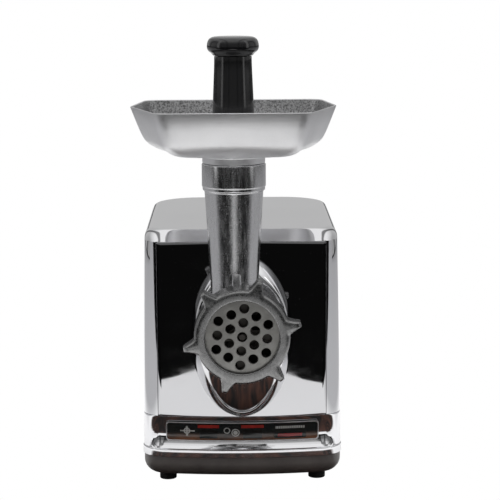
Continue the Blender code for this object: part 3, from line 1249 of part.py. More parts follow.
def first_clearance():
    return wheel_clearance(FIRST_TEETH, FIRST_MODULE)


def case_solid(shrink, front, rear):
    """The convex hull of the circles round the gears."""
    bm = bmesh.new()
    for axis, radius in ((AUGER_AXIS, wheel_clearance(OUTPUT_TEETH, OUTPUT_MODULE)),
                         (SECOND_AXIS, wheel_clearance(MIDDLE_TEETH, MIDDLE_MODULE)),
                         (FIRST_AXIS, first_clearance()), (MOTOR_AXIS, MOTOR_BEARING_RADIUS)):
        for i in range(ROUND):
            x, z = polar(axis, radius - shrink, 2 * math.pi * i / ROUND)
            for d in (front, rear):
                bm.verts.new((x, d, z))
    made = bmesh.ops.convex_hull(bm, input=bm.verts)
    loose = made["geom_interior"] + made["geom_unused"]
    spare = [item for item in loose if isinstance(item, bmesh.types.BMVert)]
    bmesh.ops.delete(bm, geom=list(set(spare)), context="VERTS")
    bmesh.ops.recalc_face_normals(bm, faces=bm.faces)
    return bm


def gearbox_case():
    obj = piece("gearbox_case", case_solid(0.0, CASE_FRONT, COVER_FRONT - FIT), cast_metal())
    cut(obj, case_solid(CASE_WALL * 0.8, CASE_FRONT + CASE_WALL, COVER_FRONT + 5 * MM))
    fuse(obj, ring(OUTPUT_BEARING_RADIUS + 3 * MM, OUTPUT_BEARING_RADIUS + FIT, CASE_FRONT + 1 * MM,
                   BEARING_FRONT + OUTPUT_BEARING_WIDTH - 1 * MM, AUGER_AXIS))
    cut(obj, merged([rod(OUTPUT_SHAFT_RADIUS + 2 * FIT, CASE_FRONT - 5 * MM, CASE_FRONT + 9 * MM,
                         AUGER_AXIS, ROUND),
                     rod(AXLE_RADIUS + FIT, CASE_FRONT - 5 * MM, CASE_FRONT + 9 * MM, FIRST_AXIS, 12),
                     rod(AXLE_RADIUS + FIT, CASE_FRONT - 5 * MM, CASE_FRONT + 9 * MM, SECOND_AXIS, 12)]))


def gearbox_cover():
    obj = piece("gearbox_cover", case_solid(0.0, COVER_FRONT, COVER_REAR), cast_metal())
    holes = ((HUB_RADIUS + FIT, AUGER_AXIS), (AXLE_RADIUS + FIT, FIRST_AXIS), (AXLE_RADIUS + FIT, SECOND_AXIS),
             (MOTOR_SHAFT_RADIUS + 3.5 * MM, MOTOR_AXIS))
    cut(obj, merged([rod(radius, COVER_FRONT - 5 * MM, COVER_REAR + 5 * MM, axis) for radius, axis in holes]))


def output_bearing():
    piece("output_bearing", ring(OUTPUT_BEARING_RADIUS, OUTPUT_SHAFT_RADIUS + FIT, BEARING_FRONT,
                                 BEARING_FRONT + OUTPUT_BEARING_WIDTH, AUGER_AXIS), steel())


# Motor ----------------------------------------------------------------------------------------

def motor_shaft(motor):
    obj = piece("motor_shaft", rod(MOTOR_SHAFT_RADIUS, FIRST_FRONT + 1 * MM, SHAFT_REAR, MOTOR_AXIS),
                steel(), motor)
    outline = gear_outline(MOTOR_PINION_TEETH, FIRST_MODULE, MOTOR_AXIS, TO_MOTOR + math.pi, False)
    fuse(obj, prism(outline, FIRST_FRONT - 0.5 * MM, FIRST_FRONT + FIRST_FACE + 0.5 * MM))


def armature_core(motor):
    piece("armature_core", ring(ROTOR_RADIUS, MOTOR_SHAFT_RADIUS + FIT, CORE_FRONT, CORE_REAR, MOTOR_AXIS),
          lamination(), motor)


def commutator(motor):
    piece("commutator", ring(COMMUTATOR_RADIUS, MOTOR_SHAFT_RADIUS + FIT, COMMUTATOR_FRONT,
                             COMMUTATOR_FRONT + COMMUTATOR_LENGTH, MOTOR_AXIS), copper(), motor)


def cooling_fan(motor):
    """Blades stand on a back disc and on the hub."""
    back = FAN_FRONT + FAN_WIDTH
    obj = piece("cooling_fan", rod(FAN_RADIUS, back - 1.5 * MM, back, MOTOR_AXIS, ROUND),
                black_plastic(), motor)
    fuse(obj, rod(HUB_RADIUS + 1 * MM, FAN_FRONT, back - 0.5 * MM, MOTOR_AXIS))
    blades = []
    for i in range(FAN_BLADES):
        blade = block((HUB_RADIUS, FAN_RADIUS - 1 * MM), (FAN_FRONT, back - 1 * MM), (-0.7 * MM, 0.7 * MM))
        bmesh.ops.rotate(blade, verts=blade.verts, cent=(0, 0, 0),
                         matrix=Matrix.Rotation(2 * math.pi * i / FAN_BLADES, 3, "Y"))
        bmesh.ops.translate(blade, verts=blade.verts, vec=(MOTOR_AXIS[0], 0.0, MOTOR_AXIS[1]))
        blades.append(blade)
    fuse(obj, merged(blades))
    cut(obj, rod(MOTOR_SHAFT_RADIUS + FIT, FAN_FRONT - 5 * MM, back + 5 * MM, MOTOR_AXIS))


def field_core():
    outline = rounded_rectangle(CORE_HALF_WIDTH, CORE_HALF_HEIGHT, 9 * MM, MOTOR_AXIS)
    obj = piece("field_core", prism(outline, CORE_FRONT, CORE_REAR), lamination())
    cut(obj, rod(ROTOR_RADIUS + ROTOR_GAP, CORE_FRONT - 5 * MM, CORE_REAR + 5 * MM, MOTOR_AXIS, ROUND))
    cut(obj, merged([rod(COIL_WIRE_RADIUS + 3 * FIT, CORE_FRONT - 5 * MM, CORE_REAR + 5 * MM,
                         polar(MOTOR_AXIS, COIL_SEAT_RADIUS, angle), 12) for angle in coil_angles()]))


def coil_angles():
    return [math.radians(angle) for angle in (28, 152, 208, 332)]


def field_coils():
    """Each coil is one loop of tube: two legs in the core's slots, joined by an arch over each end."""
    front = CORE_FRONT - COIL_OVERHANG
    rear = CORE_REAR + COIL_OVERHANG
    for name, start, end in (("field_coil_upper", 28, 152), ("field_coil_lower", 332, 208)):
        arch = arc(MOTOR_AXIS, COIL_SEAT_RADIUS + 1 * MM, math.radians(start), math.radians(end), 8)
        arch[0] = polar(MOTOR_AXIS, COIL_SEAT_RADIUS, math.radians(start))
        arch[-1] = polar(MOTOR_AXIS, COIL_SEAT_RADIUS, math.radians(end))
        path = [(x, front, z) for x, z in arch] + [(x, rear, z) for x, z in reversed(arch)]
        curve = bpy.data.curves.new(name, "CURVE")
        curve.dimensions = "3D"
        curve.bevel_depth = COIL_WIRE_RADIUS
        curve.bevel_resolution = 1
        spline = curve.splines.new("POLY")
        spline.points.add(len(path) - 1)
        for point, (x, d, z) in zip(spline.points, path):
            point.co = (*place(x, d, z), 1.0)
        spline.use_cyclic_u = True
        curve.materials.append(copper())
        bpy.context.collection.objects.link(bpy.data.objects.new(name, curve))


def motor_bracket(name, front, post_front, post_rear):
    """A plate that carries a bearing, with four posts that reach the field core."""
    outline = rounded_rectangle(CORE_HALF_WIDTH, CORE_HALF_HEIGHT, 9 * MM, MOTOR_AXIS)
    obj = piece(name, prism(outline, front, front + BRACKET_THICKNESS), cast_metal())
    posts = []
    windows = []
    for side_x in (-1, 1):
        for side_z in (-1, 1):
            axis = (MOTOR_AXIS[0] + side_x * (CORE_HALF_WIDTH - 6 * MM),
                    MOTOR_AXIS[1] + side_z * (CORE_HALF_HEIGHT - 6 * MM))
            posts.append(rod(POST_RADIUS, post_front, post_rear, axis, TINY_ROUND))
        centre = (MOTOR_AXIS[0] + side_x * 24 * MM, MOTOR_AXIS[1])
        windows.append(prism(rounded_rectangle(7 * MM, 16 * MM, 4 * MM, centre, 2), front - 5 * MM,
                             front + BRACKET_THICKNESS + 5 * MM))
    fuse(obj, merged(posts))
    windows.append(rod(MOTOR_BEARING_RADIUS + FIT, front - 5 * MM, front + BRACKET_THICKNESS + 5 * MM,
                       MOTOR_AXIS))
    cut(obj, merged(windows))


def motor_brackets():
    motor_bracket("motor_front_bracket", BRACKET_FRONT, BRACKET_FRONT + 1 * MM, CORE_FRONT - FIT)
    motor_bracket("motor_rear_bracket", REAR_BRACKET_FRONT, CORE_REAR + FIT, REAR_BRACKET_FRONT + 1 * MM)


def motor_bearings():
    for name, front in (("motor_front_bearing", BRACKET_FRONT),
                        ("motor_rear_bearing", REAR_BRACKET_FRONT - 2 * MM)):
        piece(name, ring(MOTOR_BEARING_RADIUS, MOTOR_SHAFT_RADIUS + FIT,
                         front, front + BEARING_WIDTH - 1 * MM,
                         MOTOR_AXIS, SMALL_ROUND), steel())


def brush_holders():
    """Each holder stands on the rear bracket and faces the commutator."""
    for name, side in (("brush_holder_left", -1), ("brush_holder_right", 1)):
        near = MOTOR_AXIS[0] + side * (COMMUTATOR_RADIUS + FIT)
        far = MOTOR_AXIS[0] + side * (COMMUTATOR_RADIUS + 19 * MM)
        piece(name, block((min(near, far), max(near, far)),
                          (COMMUTATOR_FRONT + 3 * MM, REAR_BRACKET_FRONT - FIT),
                          (MOTOR_AXIS[1] - 4 * MM, MOTOR_AXIS[1] + 4 * MM)), black_plastic())


def build():
    clear_scene()
    head = pivot("head_turn", 0.0, 0.0, AXIS_Z)
    plate = pivot("plate_slide", 0.0, 0.0, AXIS_Z, head)
    nut = pivot("ring_nut_turn", 0.0, 0.0, AXIS_Z, plate)
    tray_lift = pivot("tray_lift", FEED_X, FEED_D, COLLAR_TOP, head)
    pusher_slide = pivot("pusher_slide", FEED_X, FEED_D, COLLAR_TOP, tray_lift)
    drive = pivot("auger_spin", 0.0, 0.0, AXIS_Z)
    second = pivot("second_gear_spin", SECOND_AXIS[0], MIDDLE_FRONT, SECOND_AXIS[1])
    first = pivot("first_gear_spin", FIRST_AXIS[0], FIRST_FRONT, FIRST_AXIS[1])
    motor = pivot("motor_spin", MOTOR_AXIS[0], CORE_FRONT, MOTOR_AXIS[1])
    for make in (housing_shell, front_panel, socket_escutcheon, front_band, label_insert, base_pan, feet,
                 base_screws, rear_vent_grille, cord_gland, control_plate, buttons, switch_body,
                 control_board, head_socket, lock, gear_axles, gearbox_case, gearbox_cover, output_bearing, field_core,
                 field_coils, motor_brackets, motor_bearings, brush_holders):
        make()
    grinder_body(head)
    perforated_plate(plate)
    ring_nut(nut)
    tray(tray_lift)
    pusher_stem(pusher_slide)
    pusher_cap(pusher_slide)
    for make in (cutting_blade, auger, auger_coupling, thrust_washer, output_gear, output_shaft):
        make(drive)
    gear_clusters(second, first)
    for make in (motor_shaft, armature_core, commutator, cooling_fan):
        make(motor)


build()
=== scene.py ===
"""Looks of an electric meat grinder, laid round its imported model.

Shapes are drawn on the machine's own axes, in millimetres: x across from the auger's axis, d back
from the ring nut's front face and z up from the table. skin() moves them into place, in metres.
"""
import json
import math

import bmesh
import bpy
import numpy as np
from mathutils import Matrix, Vector


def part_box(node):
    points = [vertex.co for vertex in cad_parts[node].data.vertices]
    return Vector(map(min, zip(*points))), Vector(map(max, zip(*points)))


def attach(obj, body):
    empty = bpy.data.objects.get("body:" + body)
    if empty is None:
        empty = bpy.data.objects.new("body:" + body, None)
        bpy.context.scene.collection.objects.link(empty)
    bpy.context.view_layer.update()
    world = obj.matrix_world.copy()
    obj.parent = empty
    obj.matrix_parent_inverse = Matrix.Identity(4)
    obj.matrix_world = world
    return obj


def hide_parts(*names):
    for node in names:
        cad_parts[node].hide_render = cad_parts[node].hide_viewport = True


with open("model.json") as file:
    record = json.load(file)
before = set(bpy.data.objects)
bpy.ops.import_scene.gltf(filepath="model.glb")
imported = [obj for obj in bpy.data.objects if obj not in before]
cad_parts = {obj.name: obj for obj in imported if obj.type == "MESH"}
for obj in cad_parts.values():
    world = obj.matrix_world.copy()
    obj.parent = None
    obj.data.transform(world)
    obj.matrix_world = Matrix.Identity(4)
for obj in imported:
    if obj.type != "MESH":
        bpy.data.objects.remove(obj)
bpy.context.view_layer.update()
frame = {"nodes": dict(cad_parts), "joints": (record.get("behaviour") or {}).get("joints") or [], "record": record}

bl_info = {
    "name": "Meat Grinder Looks",
    "version": (1, 0, 0),
    "blender": (4, 5, 0),
    "location": "View3D > Sidebar > Grinder",
    "description": "Builds the visible pieces, finishes and stage of an electric meat grinder",
    "category": "Object",
}

MM = 0.001
FIT = 0.3
PIVOT = next(joint["pos_m"] for joint in frame["joints"] if joint["name"] == "head_turn")
AXIS_Z = PIVOT[2] / MM


def reach(node, end):
    """The low (0) or high (1) corner of a CAD node, on the machine's own axes in millimetres."""
    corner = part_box(node)[end]
    return (corner.x - PIVOT[0]) / MM, (corner.y - PIVOT[1]) / MM, corner.z / MM


# Housing
BODY_HALF = 81.2
TOP_HALF = 78.6
BODY_TOP = reach("housing_shell", 1)[2]
BODY_REAR = reach("housing_shell", 1)[1]
SHELL_WALL = 2.2
PANEL_WALL = 2.2
SHOULDER = 7.5
BEVEL_DEPTH = 10.0
FRONT_CORNER = 20.0
REAR_CORNER = 36.0
BOW = 355.0
FLAT = 50000.0
BOW_EDGE = 68.6                            # across from the middle to the bow's ends
PANEL_EDGE = 84.0                          # the bow's depth at those ends
PANEL_HALF = reach("front_panel", 1)[0]
PANEL_FOOT = 58.8
PANEL_TOP = reach("front_panel", 1)[2]
BAND_REAR = reach("front_band", 1)[1]
BAND_SCOOP = 5.5
BAND_SKEW = 0.75
BAND_FADE = (66.2, 12.0)                   # where the hollow's curved ends start, and their length
LIP_TOP = 30.7
LIP_PROUD = 0.8
PAN_TOP = 24.3
PAN_BOTTOM = 7.8
PAN_CORNER = 11.0
CONTROL = (164.0, 150.0, 30.0, 13.0)       # middle d and z, half length and half height
CONTROL_FACE = reach("control_plate", 1)[0]
RELEASE = (116.0, AXIS_Z)                  # the head release button's d and z
GLAND = (30.0, 44.0)                       # the cord gland's x and z
LABEL = (62.6, 8.1, 45.5)                  # half width, half height, middle z
VENT = (36.0, 132.0, 24.0)                 # half width, middle z, half height
OVAL = (41.3, 66.1, 125.5)                 # half width, half height, middle z
OVAL_FRONT = 67.4                          # the mouth's depth at its top
OVAL_SLANT = 24.0                          # how much further forward its bottom is
# Head, tray and pusher
FEED = (-5.5, 48.0)
BARREL = 30.0
NUT = 37.0
LUG_TIP = 46.2
PLATE_PITCH = 11.1
TRAY_TOP = reach("tray", 1)[2]
TRAY_FLOOR = 278.1
# Stage, in metres and degrees
FLOOR_HALF = 0.205                         # half width of the curved part of the floor's front edge
FLOOR_CURVE = 12.7                         # at x that edge lies FLOOR_CURVE x^2 further back
CAMERA = (-0.0053, -1.4963, 0.422)
CAMERA_YAW, CAMERA_PITCH, CAMERA_ROLL = -0.57, -8.97, -0.35


# Shapes ---------------------------------------------------------------------------------------

def cells(rows, columns, wrap_rows=False, wrap_columns=False):
    """Quads between neighbouring points of a grid: point (r, c) has the number r * columns + c."""
    r = np.arange(rows if wrap_rows else rows - 1)[:, None]
    c = np.arange(columns if wrap_columns else columns - 1)[None, :]
    r2 = (r + 1) % rows
    c2 = (c + 1) % columns
    corners = [r * columns + c, r * columns + c2, r2 * columns + c2, r2 * columns + c]
    return np.stack(corners, -1).reshape(-1, 4)


def skin(name, patches, finish, body, stands_for=(), sharp=32.0, keep=None, wall=0.0, caps=(),
         edge=0.0, edge_steps=2):
    """A mesh from grids of points. A patch is (points, wrap_rows, wrap_columns).

    keep takes the middles of the faces and says which stay. caps names rows of the first patch
    that are closed with one flat face. wall is the thickness given inwards, edge a bevel's width.
    """
    points, faces, start = [], [], 0
    for grid, wrap_rows, wrap_columns in patches:
        quads = cells(grid.shape[0], grid.shape[1], wrap_rows, wrap_columns)
        if keep is not None:
            quads = quads[keep(grid.reshape(-1, 3)[quads].mean(1))]
        points.append(grid.reshape(-1, 3))
        faces += (quads + start).tolist()
        start += grid.shape[0] * grid.shape[1]
    width = patches[0][0].shape[1]
    for row in caps:
        first = (row % patches[0][0].shape[0]) * width
        faces.append(list(range(first, first + width)))
    world = np.concatenate(points) * MM + np.array([PIVOT[0], PIVOT[1], 0.0])
    mesh = bpy.data.meshes.new(name)
    mesh.from_pydata(world, [], faces)
    bm = bmesh.new()
    bm.from_mesh(mesh)
    bmesh.ops.remove_doubles(bm, verts=bm.verts, dist=2e-6)
    bmesh.ops.delete(bm, geom=[v for v in bm.verts if not v.link_faces], context="VERTS")
    bmesh.ops.recalc_face_normals(bm, faces=bm.faces)
    bm.to_mesh(mesh)
    bm.free()
    obj = bpy.data.objects.new(name, mesh)
    bpy.context.scene.collection.objects.link(obj)
    if wall:
        solid = obj.modifiers.new("wall", "SOLIDIFY")
        solid.thickness = wall * MM
        solid.offset = -1.0
        solid.use_even_offset = True
        settle(obj)
    if edge:
        soften_edges(obj, edge, edge_steps, sharp)
    mesh = obj.data
    mesh.shade_smooth()
    mesh.set_sharp_from_angle(angle=math.radians(sharp))
    for one in (finish if isinstance(finish, (list, tuple)) else [finish]):
        mesh.materials.append(one)
    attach(obj, body)
    if stands_for:
        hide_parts(*stands_for)
    return obj


def settle(obj):
    """Makes an object's live modifiers its mesh."""
    graph = bpy.context.evaluated_depsgraph_get()
    made = bpy.data.meshes.new_from_object(obj.evaluated_get(graph))
    obj.modifiers.clear()
    old = obj.data
    obj.data = made
    bpy.data.meshes.remove(old)


def soften_edges(obj, width, steps=2, angle=32.0):
    bevel = obj.modifiers.new("edge", "BEVEL")
    bevel.width = width * MM
    bevel.segments = steps
    bevel.limit_method = "ANGLE"
    bevel.angle_limit = math.radians(angle)
    bevel.use_clamp_overlap = True
    settle(obj)


def carve(obj, cutters, operation="DIFFERENCE", sharp=32.0, edge=0.0):
    """Cuts closed grids out of a piece, or joins them to it. The cutters are removed after."""
    for number, (grid, wrap_rows, wrap_columns, caps) in enumerate(cutters):
        tool = skin(f"cutter_{number}", [(grid, wrap_rows, wrap_columns)], [], "housing", caps=caps)
        cut = obj.modifiers.new("cut", "BOOLEAN")
        cut.operation = operation
        cut.solver = "EXACT"
        cut.object = tool
        settle(obj)
        bpy.data.objects.remove(tool, do_unlink=True)
    if edge:
        soften_edges(obj, edge, 1, sharp)
    obj.data.shade_smooth()
    obj.data.set_sharp_from_angle(angle=math.radians(sharp))
    return obj


def soften(rows, radius, steps=4, closed=False):
    """Rounds the corners of a run of rows. Each corner p becomes the curve
    (1-t)^2 a + 2t(1-t) p + t^2 b, with a and b on its two sides at the rounding radius or at half
    the side, whichever is less."""
    rows = np.asarray(rows, float)
    radius = np.broadcast_to(np.asarray(radius, float), rows.shape[:1])
    before = np.roll(rows, 1, 0) - rows
    after = np.roll(rows, -1, 0) - rows
    middle = slice(None) if closed else slice(1, -1)
    p, a, b = rows[middle], before[middle], after[middle]
    size = radius[middle].reshape((-1,) + (1,) * (rows.ndim - 1))
    length_a = np.linalg.norm(a, axis=-1, keepdims=True) + 1e-9
    length_b = np.linalg.norm(b, axis=-1, keepdims=True) + 1e-9
    start = p + a / length_a * np.minimum(size, length_a * 0.49)
    end = p + b / length_b * np.minimum(size, length_b * 0.49)
    t = np.linspace(0, 1, steps + 1).reshape((1, -1) + (1,) * (rows.ndim - 1))
    curve = (1 - t) ** 2 * start[:, None] + 2 * t * (1 - t) * p[:, None] + t ** 2 * end[:, None]
    curve = curve.reshape((-1,) + rows.shape[1:])
    return curve if closed else np.concatenate([rows[:1], curve, rows[-1:]])


def angles(count, start=0.0):
    return start + 2 * np.pi * np.arange(count) / count


def turned(profile, centre, sides=96, axis="d"):
    """A profile of (radius, along) spun round an axis through centre: at angle a a point is
    centre + radius * (cos a, sin a) across the axis, and its second number along it."""
    profile = np.asarray(profile, float)
    a = angles(sides)
    across, up = np.outer(profile[:, 0], np.cos(a)), np.outer(profile[:, 0], np.sin(a))
    along = np.repeat(profile[:, 1:2], sides, 1)
    if axis == "d":
        return np.stack([centre[0] + across, along, centre[1] + up], -1)
    if axis == "z":
        return np.stack([centre[0] + across, centre[1] + up, along], -1)
    return np.stack([along, centre[0] + across, centre[1] + up], -1)


def rounded_box(half_width, half_height, radius, steps=6, straight=6):
    """The outline of a rectangle with round corners, as (n, 2) points anticlockwise."""
    a = np.linspace(0, np.pi / 2, steps + 1)
    quarter = np.stack([half_width - radius + radius * np.cos(a),
                        half_height - radius + radius * np.sin(a)], -1)
    corners = [quarter, quarter[::-1] * [-1, 1], -quarter, quarter[::-1] * [1, -1]]
    runs = []
    for corner, following in zip(corners, corners[1:] + corners[:1]):
        runs += [corner, np.linspace(corner[-1], following[0], straight + 1)[1:-1]]
    return np.concatenate(runs)


def raised(flat, level):
    """Points of a plan with a third number, the same for all."""
    return np.c_[flat, np.full(len(flat), level)]


def slab(outline, near, far, plane="xz", rim=0.4):
    """An outline drawn across a plane and carried from near to far, its edges rounded by rim."""
    outline = np.asarray(outline, float)
    middle = outline.mean(0)
    size = np.abs(outline - middle).max()
    shares = [(0.0, near), (1 - rim / size, near), (1.0, near + math.copysign(rim, far - near)),
              (1.0, far - math.copysign(rim, far - near)), (1 - rim / size, far), (0.0, far)]
    rows = [raised(middle + (outline - middle) * share, level) for share, level in shares]
    order = {"xz": (0, 2, 1), "dz": (2, 0, 1), "xd": (0, 1, 2)}[plane]
    return np.stack(rows)[:, :, order]


def drill(centre, radius, near, far, sides=48, axis="d"):
    """A cutter: a cylinder round an axis through centre, from near to far along it."""
    profile = [(0, near), (radius, near), (radius, far), (0, far)]
    return turned(profile, centre, sides, axis), False, True, ()


# Housing --------------------------------------------------------------------------------------

def panel_share(z):
    """0 at the foot of the front panel and below, 1 at its top and above."""
    return np.clip((z - PANEL_FOOT) / (PANEL_TOP - PANEL_FOOT), 0.0, 1.0)


def bow_radius(z):
    """The bow's radius at height z: BOW at the foot, rising until the front is all but flat."""
    return 1.0 / ((1.0 - panel_share(z)) / BOW + 1.0 / FLAT)


def front_depth(x, z):
    """Depth of the bowed front: a circle of radius r through the panel's upright edges,
    edge + sqrt(r^2 - edge_x^2) - sqrt(r^2 - x^2). The bow fades from the foot to the top."""
    r = bow_radius(z)
    return PANEL_EDGE + np.sqrt(r ** 2 - BOW_EDGE ** 2) - np.sqrt(r ** 2 - np.asarray(x) ** 2)


SIDE_STATIONS = (BAND_REAR + FIT, RELEASE[0], CONTROL[0] - CONTROL[2] - FIT, CONTROL[0],
                 CONTROL[0] + CONTROL[2] + FIT, 230.0)
BOW_POINTS = 13
NEAR_STEPS = (6, 28)                       # steps of a front corner up to the panel's edge, and past it


def plan(z, inset=0.0):
    """Closed plan of the housing at height z, moved inwards by inset: a bowed front, two small
    corner arcs, straight sides and two large corner arcs, with the shoulder's quarter circle
    leaning it in near the top. The first and last point stand at the middle of the front."""
    above = max(z - (BODY_TOP - SHOULDER), 0.0)
    lean = SHOULDER - math.sqrt(max(SHOULDER ** 2 - above ** 2, 0.0))
    bevel = max(z - PANEL_TOP, 0.0) * BEVEL_DEPTH / (BODY_TOP - PANEL_TOP)
    width = BODY_HALF + (TOP_HALF - BODY_HALF) * panel_share(z) - lean - inset
    rear = BODY_REAR - lean - inset
    front = float(front_depth(0.0, z)) + bevel + inset
    bow = bow_radius(z) - inset
    corner, back = FRONT_CORNER - inset, REAR_CORNER - inset
    slope = math.asin((width - corner) / (bow - corner))
    corner_d = front + bow - (bow - corner) * math.cos(slope)
    across = (PANEL_HALF + FIT - width + corner) / corner
    turn = -math.acos(min(max(across, -1.0), math.sin(math.pi / 2 - 0.05)))
    bow_angles = np.linspace(0.0, slope, BOW_POINTS)
    bowed = np.c_[bow * np.sin(bow_angles), front + bow - bow * np.cos(bow_angles)]
    rounds = np.concatenate([np.linspace(slope - math.pi / 2, turn, NEAR_STEPS[0] + 1)[1:],
                             np.linspace(turn, 0.0, NEAR_STEPS[1] + 1)[1:]])
    near = np.c_[width - corner + corner * np.cos(rounds), corner_d + corner * np.sin(rounds)]
    stations = np.maximum(SIDE_STATIONS, corner_d + 0.5 * (1 + np.arange(len(SIDE_STATIONS))))
    side = np.c_[np.full(len(stations), width), stations]
    turns = np.linspace(0.0, math.pi / 2, 19)
    far = np.c_[width - back + back * np.cos(turns), rear - back + back * np.sin(turns)]
    behind = np.array([[min(VENT[0] + FIT, width - back - FIT), rear], [VENT[0] / 2, rear], [0.0, rear]])
    half = np.concatenate([bowed, near, side, far, behind])
    return np.concatenate([half, half[-2:0:-1] * [-1, 1]])


def plan_rows(levels):
    """Plans stacked into a grid. A level is (z, inset)."""
    return np.stack([raised(plan(z, inset), z) for z, inset in levels])


def housing_levels():
    foot = BODY_TOP - SHOULDER
    rows = [PAN_TOP + FIT, 41.0, PANEL_FOOT, 80.0, VENT[1] - VENT[2] - FIT, 122.0,
            CONTROL[1] - CONTROL[3] - FIT, CONTROL[1], VENT[1] + VENT[2] + FIT,
            CONTROL[1] + CONTROL[3] + FIT, 182.0, PANEL_TOP, PANEL_TOP + FIT]
    rise = SHOULDER * np.sin(np.linspace(0, np.pi / 2, 12))
    return [(z, 0.0) for z in rows] + [(foot + up, 0.0) for up in rise] + [(BODY_TOP, 0.4), (BODY_TOP, 2.0)]


def housing_keep(middle):
    """Leaves out the faces behind the panel, the band, the control plate and the rear vent."""
    x, d, z = middle.T
    window = (np.abs(x) < PANEL_HALF + FIT) & (d < 130) & (z < PANEL_TOP + FIT)
    band = (d < BAND_REAR + FIT) & (z < PANEL_FOOT)
    control = ((x > 0) & (np.abs(d - CONTROL[0]) < CONTROL[2] + FIT)
               & (np.abs(z - CONTROL[1]) < CONTROL[3] + FIT))
    vent = (d > 290) & (np.abs(x) < VENT[0] + FIT) & (np.abs(z - VENT[1]) < VENT[2] + FIT)
    return ~(window | band | control | vent)


def housing_shell(finish):
    rows = plan_rows(housing_levels())
    obj = skin("housing_skin", [(rows, False, True)], finish, "housing", ["housing_shell"],
               keep=housing_keep, wall=SHELL_WALL, caps=[-1])
    holes = [drill(RELEASE, 8.3, 60, 100, 64, "x"), drill(GLAND, 7.3, 290, 320)]
    return carve(obj, holes, sharp=34.0)


def front_panel(finish):
    """A sheet on the bowed front between an oval hole and a rectangle. At share s of the way out a
    point is (1 - s) * oval + s * rectangle, both read at the same place round them."""
    middle = (PANEL_FOOT + PANEL_TOP) / 2 + FIT / 4
    box = rounded_box(PANEL_HALF, (PANEL_TOP - PANEL_FOOT) / 2 - FIT / 4, 1.2, 3, 24)
    turn = np.arctan2(box[:, 1], box[:, 0])
    lap = 4                                # how far the bulge covers the sheet round its hole
    hole = np.c_[(OVAL[0] - lap) * np.cos(turn), (OVAL[1] - lap) * np.sin(turn) + OVAL[2] - middle]
    s = np.linspace(0, 1, 13)[:, None, None]
    flat = (1 - s) * hole + s * box
    x, z = flat[..., 0], flat[..., 1] + middle
    grid = np.stack([x, front_depth(x, z), z], -1)
    return skin("front_panel_sheet", [(grid, False, True)], finish, "housing", ["front_panel"],
                wall=PANEL_WALL, edge=0.35)


def mouth_depth(up):
    """The mouth's depth: further forward at its bottom, up -1, by the slant times 3 s^2 - 2 s^3, with
    s = (0.3 - up) / 1.2 kept between 0 and 1."""
    s = np.clip((0.3 - up) / 1.2, 0.0, 1.0)
    return OVAL_FRONT - OVAL_SLANT * s ** 2 * (3 - 2 * s)


def escutcheon(finish):
    """A bulge from an oval foot, share 0, to a round mouth, share 1. Half width, half height and
    middle run straight from foot to mouth, and it comes forward by sin(share * pi / 2)^0.7."""
    mouth, bore, sides = 35.4, 31.0, 160
    turn = angles(sides)

    def level(share, inset, shift):
        half_x = OVAL[0] + (mouth - OVAL[0]) * share - inset
        half_z = OVAL[1] + (mouth - OVAL[1]) * share - inset
        x = half_x * np.cos(turn)
        z = OVAL[2] + (AXIS_Z - OVAL[2]) * share + half_z * np.sin(turn)
        seat = front_depth(x, z) - FIT
        rise = math.sin(share * math.pi / 2) ** 0.7
        return np.stack([x, seat + (mouth_depth(np.sin(turn)) - seat) * rise + shift * rise, z], -1)

    shares = np.linspace(0, 1, 28) ** 1.8
    rows = [level(share, 0.0, 0.0) for share in shares]
    rim = [(mouth - 1.0, 0.0), (bore + 0.6, 0.0), (bore, 0.6), (bore, 2.0)]
    lip = turned(rim, (0.0, AXIS_Z), sides)
    lip[..., 1] += mouth_depth(np.sin(turn))
    rows += list(lip) + [level(share, 2.0, 2.0) for share in shares[-2::-1]]
    return skin("oval_bulge", [(np.stack(rows), True, True)], finish, "housing", ["socket_escutcheon"])


def band_offset(z):
    """How far the band stands forward of the housing's plan: a lip, then a shallow hollow."""
    share = np.clip((np.asarray(z, float) - LIP_TOP) / (PANEL_FOOT - LIP_TOP), 0.0, 1.0)
    return np.where(z <= LIP_TOP, LIP_PROUD, -BAND_SCOOP * np.sin(np.pi * share ** BAND_SKEW))


def front_band(finish):
    """The housing's plan, moved out by band_offset(z), from one side wall round to the other."""
    levels = [PAN_TOP + FIT, PAN_TOP + 1.0, 28.0, LIP_TOP, LIP_TOP + 0.5]
    levels += list(np.linspace(LIP_TOP + 2.5, PANEL_FOOT - FIT, 14))
    deep = plan_rows([(z, -float(band_offset(z))) for z in levels])
    flush = plan_rows([(z, -max(float(band_offset(z)), 0.0)) for z in levels])
    fade = np.clip((np.abs(flush[..., :1]) - BAND_FADE[0]) / BAND_FADE[1], 0.0, 1.0)
    rows = deep + (flush - deep) * fade ** 2 * (3 - 2 * fade)
    count = BOW_POINTS + sum(NEAR_STEPS) + 1
    around = np.concatenate([rows[:, -(count - 1):], rows[:, :count]], 1)
    around[:, [0, -1], 1] = BAND_REAR
    around = soften(around, 0.45, 3)
    return skin("lower_band", [(around, False, False)], finish, "housing", ["front_band"],
                wall=2.0,
                edge=0.3)


